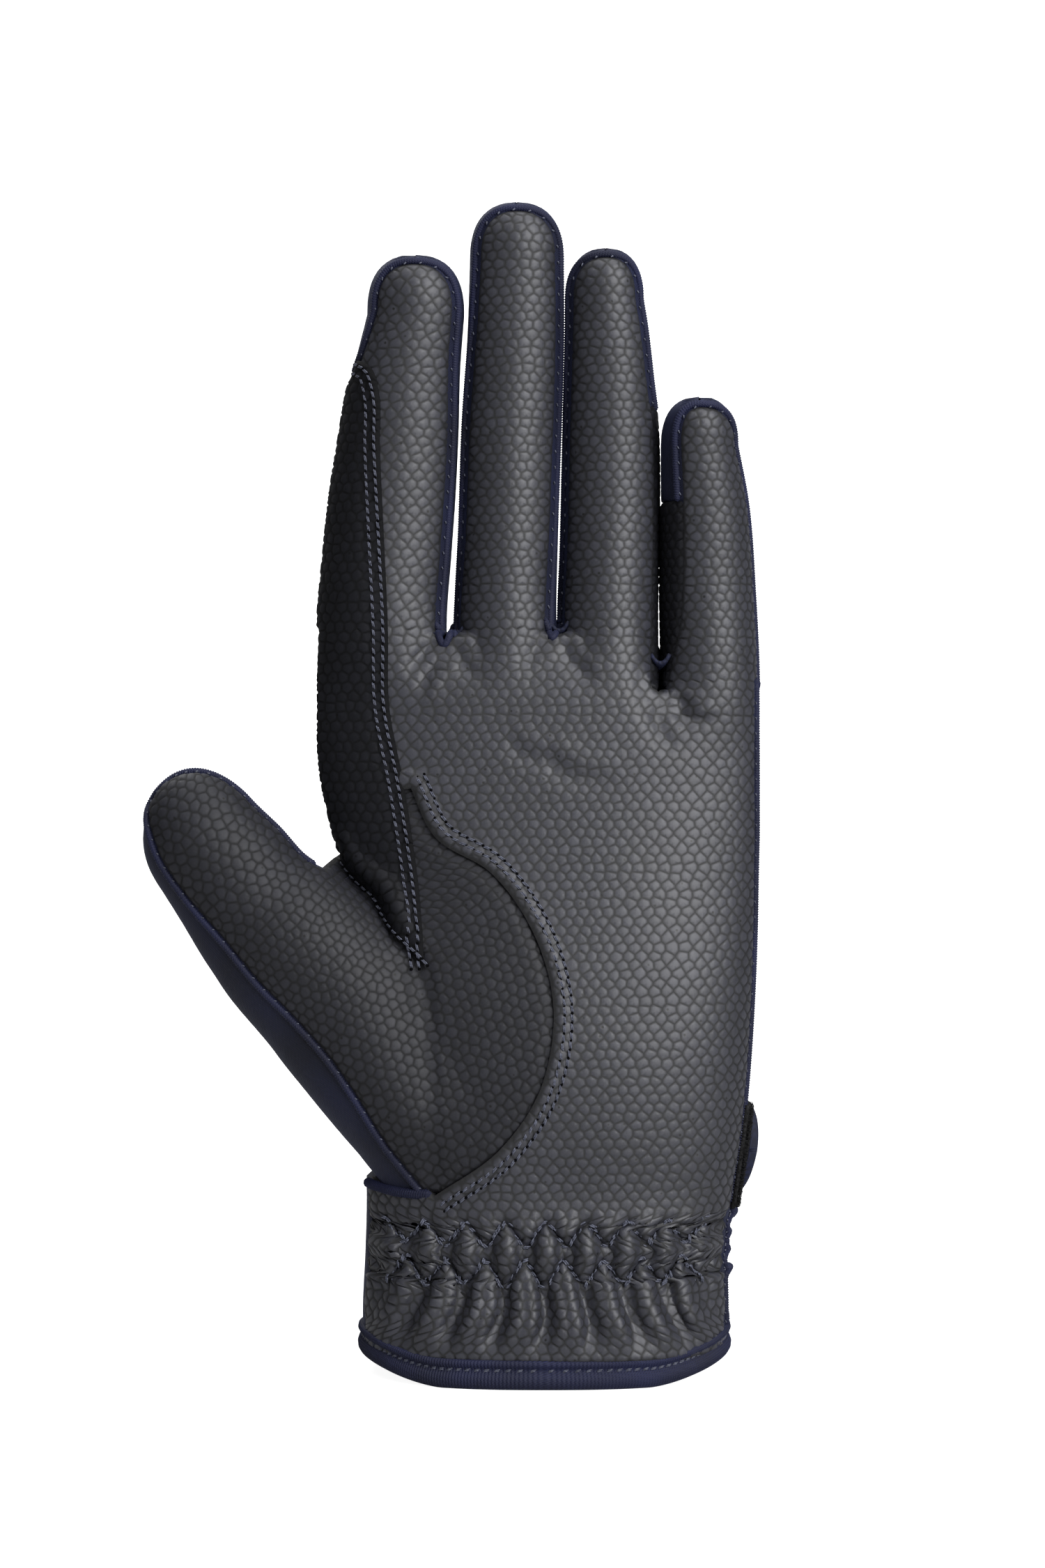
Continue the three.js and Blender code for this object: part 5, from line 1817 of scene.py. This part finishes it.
# %% Points of fabric in the crotches
POINT_SHAPE = [(-1.9, 4), (-0.9, 0.6), (0, -0.9), (0.9, 0.6), (1.9, 4)]
for name in ("index", "middle"):
    x, z = V_POINTS[name]
    crotch = [(x + aside, z + up) for aside, up in POINT_SHAPE]
    line = spline(crotch, 0.4)
    across = np.array([palm_side.palm_across(a, b) for a, b in line])
    point, outward = palm_side.palm.place(across, line[:, 1])
    piece = cord_mesh(f"{name}_crotch_point", point + outward * 0.2, outward, 0.7, 0.5)
    mount(piece, "binding", binding_cloth, "hand")

# %% [markdown]
# ## Piping of the thumb, and the seams of patch and arc
# The same cord closes the thumb's leather from the wrist to the tip and down its inner side. The
# patch's edge and the curved seam of the ball of the thumb are each held by two rows of stitches.

# %% Thumb piping
line = [thumb_palm.draw(x, z) for x, z in thumb_edge]
line += [thumb_palm.at(q, r) for q, r in tip_line(0.985, 0.985, 0, 0.62)[::-1]]
line += [thumb_palm.at(q, thumb_inner(q)) for q in np.arange(THUMB_TOP, 4, -0.8)]
line = tidy_outline(line, 0.3)
piping = cord("thumb_piping", thumb_palm, line, lift=0.05)
dots = stitches("thumb_edge_stitches", thumb_palm, line, DOT_PITCH, *DOT, lift=0.3)
mount(piping, "binding", binding_cloth, "thumb")
mount(dots, "binding", thread, "thumb")

# %% Double rows on the patch and along the arc
ROW_PITCH = 1.75
ROW_LENGTH = 1.35
STRAND = 0.15
patch_line = tidy_outline([draw_index(x, z) for x, z in patch_right if x > -36.4], 0.3)
patch_left_line = tidy_outline([palm_side.draw(x, z) for x, z in resample(PATCH_LEFT, 0.8)], 0.3)
ROWS = [                             # name, line, distance aside, height, body
    ("patch_row_outer", patch_line, -0.95, 1.42, "index"),
    ("patch_row_inner", patch_line, -2.75, 1.30, "index"),
    ("patch_row_left", patch_left_line, -0.95, 1.42, "hand"),
    ("arc_row_outer", arc_line, 2.1, 1.28, "hand"),
    ("arc_row_inner", arc_line, 3.6, 0.92, "hand"),
]
for row_name, line, aside, lift, body in ROWS:
    piece = stitches(row_name, palm_side, line, ROW_PITCH, ROW_LENGTH, STRAND, aside=aside, lift=lift)
    # Each row gets dark capsules of painted shade at its needle holes.
    holes = needle_holes(f"{row_name}_holes", palm_side, line, ROW_PITCH, aside, lift)
    mount(piece, "leather", thread, body)
    mount(holes, "leather", painted_hole_shade, body)

# %% Welt along the lower end of the gusset
line = [palm_side.draw(x, 37.6 + 0.008 * (x + 23) ** 2) for x in np.linspace(-35.2, -21.5, 40)]
piece = cord("gusset_end_piping", palm_side, line, aside=0, lift=0.3, radius=0.95, rib=0.5)
mount(piece, "binding", binding_cloth, "hand")

# %% [markdown]
# ## Zigzag rows at the wrist
# A band of elastic is stretched and caught by two zigzag rows, and gathers the leather when it lets
# go. Each leg of a zigzag is a short run of stitches, and the leather is pinched in along it.

# %% Zigzag stitches
ZIGZAG_SPAN = (-31, 33)
for row_name, row, crests in (("zigzag_upper", upper_row, HIGH_CRESTS), ("zigzag_lower", lower_row, LOW_CRESTS)):
    first = math.ceil((ZIGZAG_SPAN[0] - crests[0]) / crests[1] * 2)
    last = math.floor((ZIGZAG_SPAN[1] - crests[0]) / crests[1] * 2)
    corners = [crests[0] + k * crests[1] / 2 for k in range(first, last + 1)]
    spots = np.linspace(corners[0], corners[-1], 16 * len(corners))
    line = [palm_side.draw(x, float(row(np.array(x)))) for x in spots]
    mount(stitches(row_name, palm_side, line, 1.7, 1.35, 0.19, lift=1.2), "leather", thread, "hand")

# %% [markdown]
# ## Bands round the wrist
# The hem binding, the elastic, the label and the strap all follow the wrist's outline at some
# distance from it. A band is a closed profile of heights and distances that is swept round the
# wrist; angle 0 is the little-finger side and a quarter turn is the middle of the back.

# %% Bands
WRIST_POWER = 2.4
TURN = 2 * math.pi


def wrist_point(angle, z, push):
    """A point of the wrist's outline, moved outward by push."""
    row = PALM(z)
    half = (row[..., 1] - row[..., 0]) / 2 + push
    depth = np.where(np.sin(angle) < 0, row[..., 2], row[..., 3]) + push
    cos = np.cos(angle)
    sin = np.sin(angle)
    x = (row[..., 0] + row[..., 1]) / 2 + half * np.sign(cos) * np.abs(cos) ** (2 / WRIST_POWER)
    y = depth * np.sign(sin) * np.abs(sin) ** (2 / WRIST_POWER)
    return np.stack(np.broadcast_arrays(x, y, z), -1)


def band(name, turns, profile):
    """A ring or arc whose section at a turn is profile(turn): heights and distances, anticlockwise."""
    rows = []
    for turn in turns:
        section = np.array(profile(turn), float)
        rows.append(wrist_point(np.full(len(section), turn * TURN), section[:, 0], section[:, 1]))
    count = len(rows[0])
    piece = new_mesh(name, metres(np.vstack(rows)), tube_faces(len(rows), count))
    around = np.repeat(np.asarray(turns) * 200, count)
    up = np.tile([p[0] for p in profile(turns[0])], len(turns))
    lay_pattern(piece.data, np.column_stack([around, up]))
    return piece


def hem_rise(turn):
    return 4 * max(0, (abs(math.cos(turn * TURN)) - 0.5) / 0.5) ** 1.5


def rounded_section(low, high, inner, outer, steps=5):
    """A flat band's section with rounded corners, from the inner low corner anticlockwise."""
    radius = min((outer - inner) / 2, (high - low) / 2) * 0.95
    points = []
    for z, push, start in ((low + radius, inner + radius, math.pi), (low + radius, outer - radius, 1.5 * math.pi),
                           (high - radius, outer - radius, 0), (high - radius, inner + radius, 0.5 * math.pi)):
        for a in np.linspace(start, start + math.pi / 2, steps):
            points.append((z + radius * math.sin(a), push + radius * math.cos(a)))
    return points


# %% Hem binding
HEM_FROM = 0.259
HEM_TO = 1.222
RIB = 0.55
HEM_LENGTH = 190
hem_turns = np.linspace(HEM_FROM, HEM_TO, int(HEM_LENGTH * (HEM_TO - HEM_FROM) / RIB * 4))
HEM_SECTION = [                      # height and distance outward, once round the folded tape
    (5.6, -1.9), (0.9, -1.9), (0.25, -1.6), (-0.05, -0.9), (0.0, 0.0), (0.45, 0.75), (1.2, 1.15), (2.2, 1.2),
    (3.0, 0.9), (3.55, 0.42), (4.1, 0.42), (4.45, 0.75), (4.95, 1.02), (5.5, 0.9), (5.85, 0.5), (5.9, -0.2)]


def hem_section(turn):
    rise = hem_rise(turn)
    rib = 0.09 * math.sin(turn * HEM_LENGTH / RIB * TURN)
    waver = 0.15 * math.sin(turn * 40) * math.sin(turn * 13)
    return [(z + rise, push + (rib + waver * 0.5 if push > 0 else 0)) for z, push in HEM_SECTION]


hem = band("hem_binding_ribbed", hem_turns, hem_section)
mount(hem, "binding", binding_cloth, "hand", "hem_binding")
turns = np.arange(HEM_FROM + 0.005, HEM_TO - 0.005, 1.6 / HEM_LENGTH)
angles = turns * TURN
heights = np.array([3.82 + hem_rise(t) for t in turns])
points = wrist_point(angles, heights, 0.52)
nearby = wrist_point(angles + 0.002, heights, 0.52)
higher = wrist_point(angles, heights + 0.5, 0.52)
outward = np.cross(nearby - points, higher - points)
mount(stitch_mesh("hem_stitches", points, nearby - points, outward, 1.15, 0.14), "binding", thread, "hand")

# %% Elastic, label and loop pad
def textured(made, kind, inputs, stops, relief, **settings):
    """A material whose colour and relief both follow one texture; a wave runs along the pattern."""
    made, tree, shader = made
    if kind == "Wave":
        place = node(tree, "ShaderNodeUVMap", uv_map="pattern").outputs["UV"]
    else:
        place = node(tree, "ShaderNodeTexCoord").outputs["Object"]
    texture = node(tree, f"ShaderNodeTex{kind}", {"Vector": place, **inputs}, **settings)
    height = texture.outputs["Distance" if kind == "Voronoi" else "Fac"]
    tree.links.new(ramp(tree, height, stops), shader.inputs["Base Color"])
    bumps(tree, shader, [(height, *relief)])
    return made


elastic = textured(
    material("woven_elastic", (0.012, 0.012, 0.016), 0.8, 0.3), "Wave", {"Scale": 4.0, "Distortion": 0.4},
    [(0.2, (0.006, 0.006, 0.009)), (0.8, (0.022, 0.022, 0.028))], (0.7, 0.00015), bands_direction="Y")
label_tape = textured(
    material("label_tape", (0.62, 0.62, 0.59), 0.6, 0.3), "Wave", {"Scale": 10.0, "Distortion": 0.5},
    [(0.2, (0.5, 0.5, 0.47)), (0.8, (0.68, 0.68, 0.65))], (0.3, 0.00005))
pile = textured(
    material("loop_pile", (0.008, 0.008, 0.0085), 0.95, 0.1), "Noise", {"Scale": 1800.0, "Detail": 4.0},
    [(0.35, (0.003, 0.003, 0.003)), (0.7, (0.02, 0.02, 0.021))], (0.9, 0.0002))

elastic_turns = np.linspace(0.54, 0.96, 260)


def elastic_section(turn):
    gather = 0.35 * math.sin(turn * 190 / 7.85 * TURN)
    return rounded_section(20, 30, -2.66 + gather, -1.66 + gather)


BANDS = [                            # name, node, slot, material, turns, section
    ("wrist_elastic_band", "wrist_elastic", "elastic", elastic, elastic_turns, elastic_section),
    ("plain_label", "care_label", "label", label_tape, np.linspace(0.31, 0.36, 30),
     lambda t: rounded_section(14, 40, -2.36, -1.66 + 0.1 * math.sin(t * 300))),
    ("loop_backing", "loop_pad", "loop", pile, np.linspace(-0.03, 0.2, 120),
     lambda t: rounded_section(33, 54, 0.3, 1.3)),
]
for piece_name, node_name, slot_name, stuff, turns, section in BANDS:
    mount(band(piece_name, turns, section), slot_name, stuff, "hand", node_name)

# %% [markdown]
# ## Loop pile
# The soft half of the fastening is a mat of tiny nylon loops. A few thousand short arches, each of a
# dozen faces and turned at random, give its ragged outline against the light.

# %% Loop pile
random = np.random.default_rng(17)
LOOPS = 5200
turns = random.uniform(-0.028, 0.198, LOOPS)
heights = random.uniform(33.4, 53.6, LOOPS)
points = wrist_point(turns * TURN, heights, 1.25)
aside = wrist_point(turns * TURN + 0.01, heights, 1.25) - points
above = wrist_point(turns * TURN, heights + 0.3, 1.25) - points
outward = unit(np.cross(aside, above))
across = unit(np.cross(outward, random.normal(size=(LOOPS, 3))))
side = np.cross(outward, across)
arch = np.array([(-0.42, -0.1), (-0.36, 0.42), (0.0, 0.68), (0.36, 0.42), (0.42, -0.1)])
size = random.uniform(0.6, 1.25, LOOPS)[:, None]
vertices = []
for along, height in arch:
    for a, b in ((0.07, 0.0), (-0.035, 0.06), (-0.035, -0.06)):
        vertices.append(points + across * (along * size) + outward * ((height + a) * size) + side * b)
vertices = np.stack(vertices, 1).reshape(-1, 3)
ring = len(arch) * 3
faces = []
for base in range(0, LOOPS * ring, ring):
    for i in range(len(arch) - 1):
        for k in range(3):
            n = (k + 1) % 3
            faces.append((base + i * 3 + k, base + i * 3 + n, base + i * 3 + 3 + n, base + i * 3 + 3 + k))
    faces.append((base, base + 2, base + 1))
    faces.append((base + ring - 3, base + ring - 2, base + ring - 1))
mount(new_mesh("loop_pile", metres(vertices), faces, smooth=False), "loop", pile, "hand")

# %% [markdown]
# ## The strap
# The closing strap starts at a seam on the back, crosses the opening and ends in a rounded tab at
# the little-finger side, where hook tape grips the loop pile. It is two layers of the fabric with a
# bound edge, and it peels open about a line on the back of the hand.

# %% Strap
STRAP_LOW = 33
STRAP_HIGH = 54
STRAP_THICK = 1.8
STRAP_END = 0.035
STRAP_ROUND = 0.05
STRAP_FROM = 0.34
SPLIT_X = -15.0                      # the strap peels about a line here
SPLIT_GAP = 0.0008                   # a share of a turn between the strap and its sewn end


def strap_inner(turn):
    return 3.58 + (0.36 - 3.58) * smoothstep(0.19, 0.3, turn)


def strap_span(turn):
    share = np.clip((turn - STRAP_END) / STRAP_ROUND, 0.003, 1)
    half = (STRAP_HIGH - STRAP_LOW) / 2 * math.sqrt(1 - (1 - share) ** 2)
    middle = (STRAP_LOW + STRAP_HIGH) / 2
    return middle - half, middle + half


def strap_section(turn):
    low, high = strap_span(turn)
    inner = float(strap_inner(turn))
    return rounded_section(low, high, inner, inner + STRAP_THICK, 6)


def strap_split_turn():
    turns = np.linspace(0.2, 0.34, 400)
    x = wrist_point(turns * TURN, np.full(400, 43.5), 1.5)[:, 0]
    return float(turns[np.argmin(np.abs(x - SPLIT_X))])


split = strap_split_turn()
tab_turns = STRAP_END + STRAP_ROUND * (1 - np.cos(np.linspace(0.06, math.pi / 2, 26)))
straight_turns = np.linspace(STRAP_END + STRAP_ROUND, split - SPLIT_GAP, 90)[1:]
base_turns = np.linspace(split + SPLIT_GAP, STRAP_FROM, 40)
strap = band("strap_fabric", np.concatenate([tab_turns, straight_turns]), strap_section)
mount(strap, "navy_fabric", navy, "strap", "strap")
mount(band("strap_base_fabric", base_turns, strap_section), "navy_fabric", navy, "hand", "strap_base")

hook_tape = textured(material("hook_tape", (0.012, 0.012, 0.013), 0.5, 0.5), "Voronoi", {"Scale": 1100.0},
                     [(0.1, (0.03, 0.03, 0.032)), (0.5, (0.006, 0.006, 0.0065))], (0.8, 0.0002))
hooks = band("hook_tape_pad", np.linspace(0.075, 0.175, 60), lambda t: rounded_section(34, 53, 2.1, 3.5))
mount(hooks, "hook", hook_tape, "strap", "hook_pad")

# %% Strap stitches
inset = 1.6
strap_middle = (STRAP_LOW + STRAP_HIGH) / 2
edge_path = []
for turn in np.linspace(split - 0.004, STRAP_END + STRAP_ROUND, 60):
    edge_path.append((turn, STRAP_HIGH - inset))
for a in np.linspace(math.pi / 2, -math.pi / 2, 40):
    edge_path.append((STRAP_END + STRAP_ROUND - (STRAP_ROUND - 0.009) * math.cos(a),
                      strap_middle + (STRAP_HIGH - strap_middle - inset) * math.sin(a)))
for turn in np.linspace(STRAP_END + STRAP_ROUND, split - 0.004, 60):
    edge_path.append((turn, STRAP_LOW + inset))
edge_path = np.array(edge_path)
push = np.array([float(strap_inner(t)) for t in edge_path[:, 0]]) + STRAP_THICK
line = wrist_point(edge_path[:, 0] * TURN, edge_path[:, 1], push + 0.02)
reach = length_along(line)
at = np.arange(1, reach[-1] - 1, 2.3)
spots = np.column_stack([np.interp(at, reach, edge_path[:, 0]), np.interp(at, reach, edge_path[:, 1])])
push = np.array([float(strap_inner(t)) for t in spots[:, 0]]) + STRAP_THICK
points = wrist_point(spots[:, 0] * TURN, spots[:, 1], push + 0.04)
outward = np.cross(wrist_point(spots[:, 0] * TURN + 0.01, spots[:, 1], push) - points,
                   wrist_point(spots[:, 0] * TURN, spots[:, 1] + 0.3, push) - points)
ahead = np.column_stack([np.interp(at + 0.3, reach, line[:, k]) for k in range(3)])
behind = np.column_stack([np.interp(at - 0.3, reach, line[:, k]) for k in range(3)])
row = stitch_mesh("strap_stitches", points, ahead - behind, outward, 1.7, 0.15)
mount(row, "navy_fabric", thread_dark, "strap")

# %% [markdown]
# ## The opening at the back
# The slit at the wrist is edged with a folded strip of binding, sewn on the outside and turned over.

# %% Vent binding
def vent_line():
    up = [(OPENING_X + slit_half(z) + 0.9, z) for z in np.linspace(0.4, OPENING_TOP, 90)]
    over = [(OPENING_X + (slit_half(OPENING_TOP) + 0.9) * math.cos(a), OPENING_TOP + 1.4 * math.sin(a))
            for a in np.linspace(0, math.pi, 14)[1:-1]]
    down = [(2 * OPENING_X - x, z) for x, z in up[::-1]]
    return np.array(up + over + down)


vent = vent_line()
path = np.array([back_side.palm.across(back_angle(x, z), z) for x, z in vent])
path = even_line(np.column_stack([path, vent[:, 1]]), CORD_STEP)
point, outward = back_side.place(*path.T)
edging = cord_mesh("vent_binding_ribbed", smooth_line(point, 6), outward, 1.25, 0.55, 0.06, 0.3, 0.75)
mount(edging, "binding", binding_cloth, "hand", "vent_binding")
hidden = int(14 / CORD_STEP)         # the hem binding covers the ends of the row
line = shifted(path, 1.9)[hidden:-hidden]
mount(stitches("vent_stitches", back_side, line, 2.3, 1.6, 0.14, lift=0.2), "navy_fabric", thread_dark, "hand")
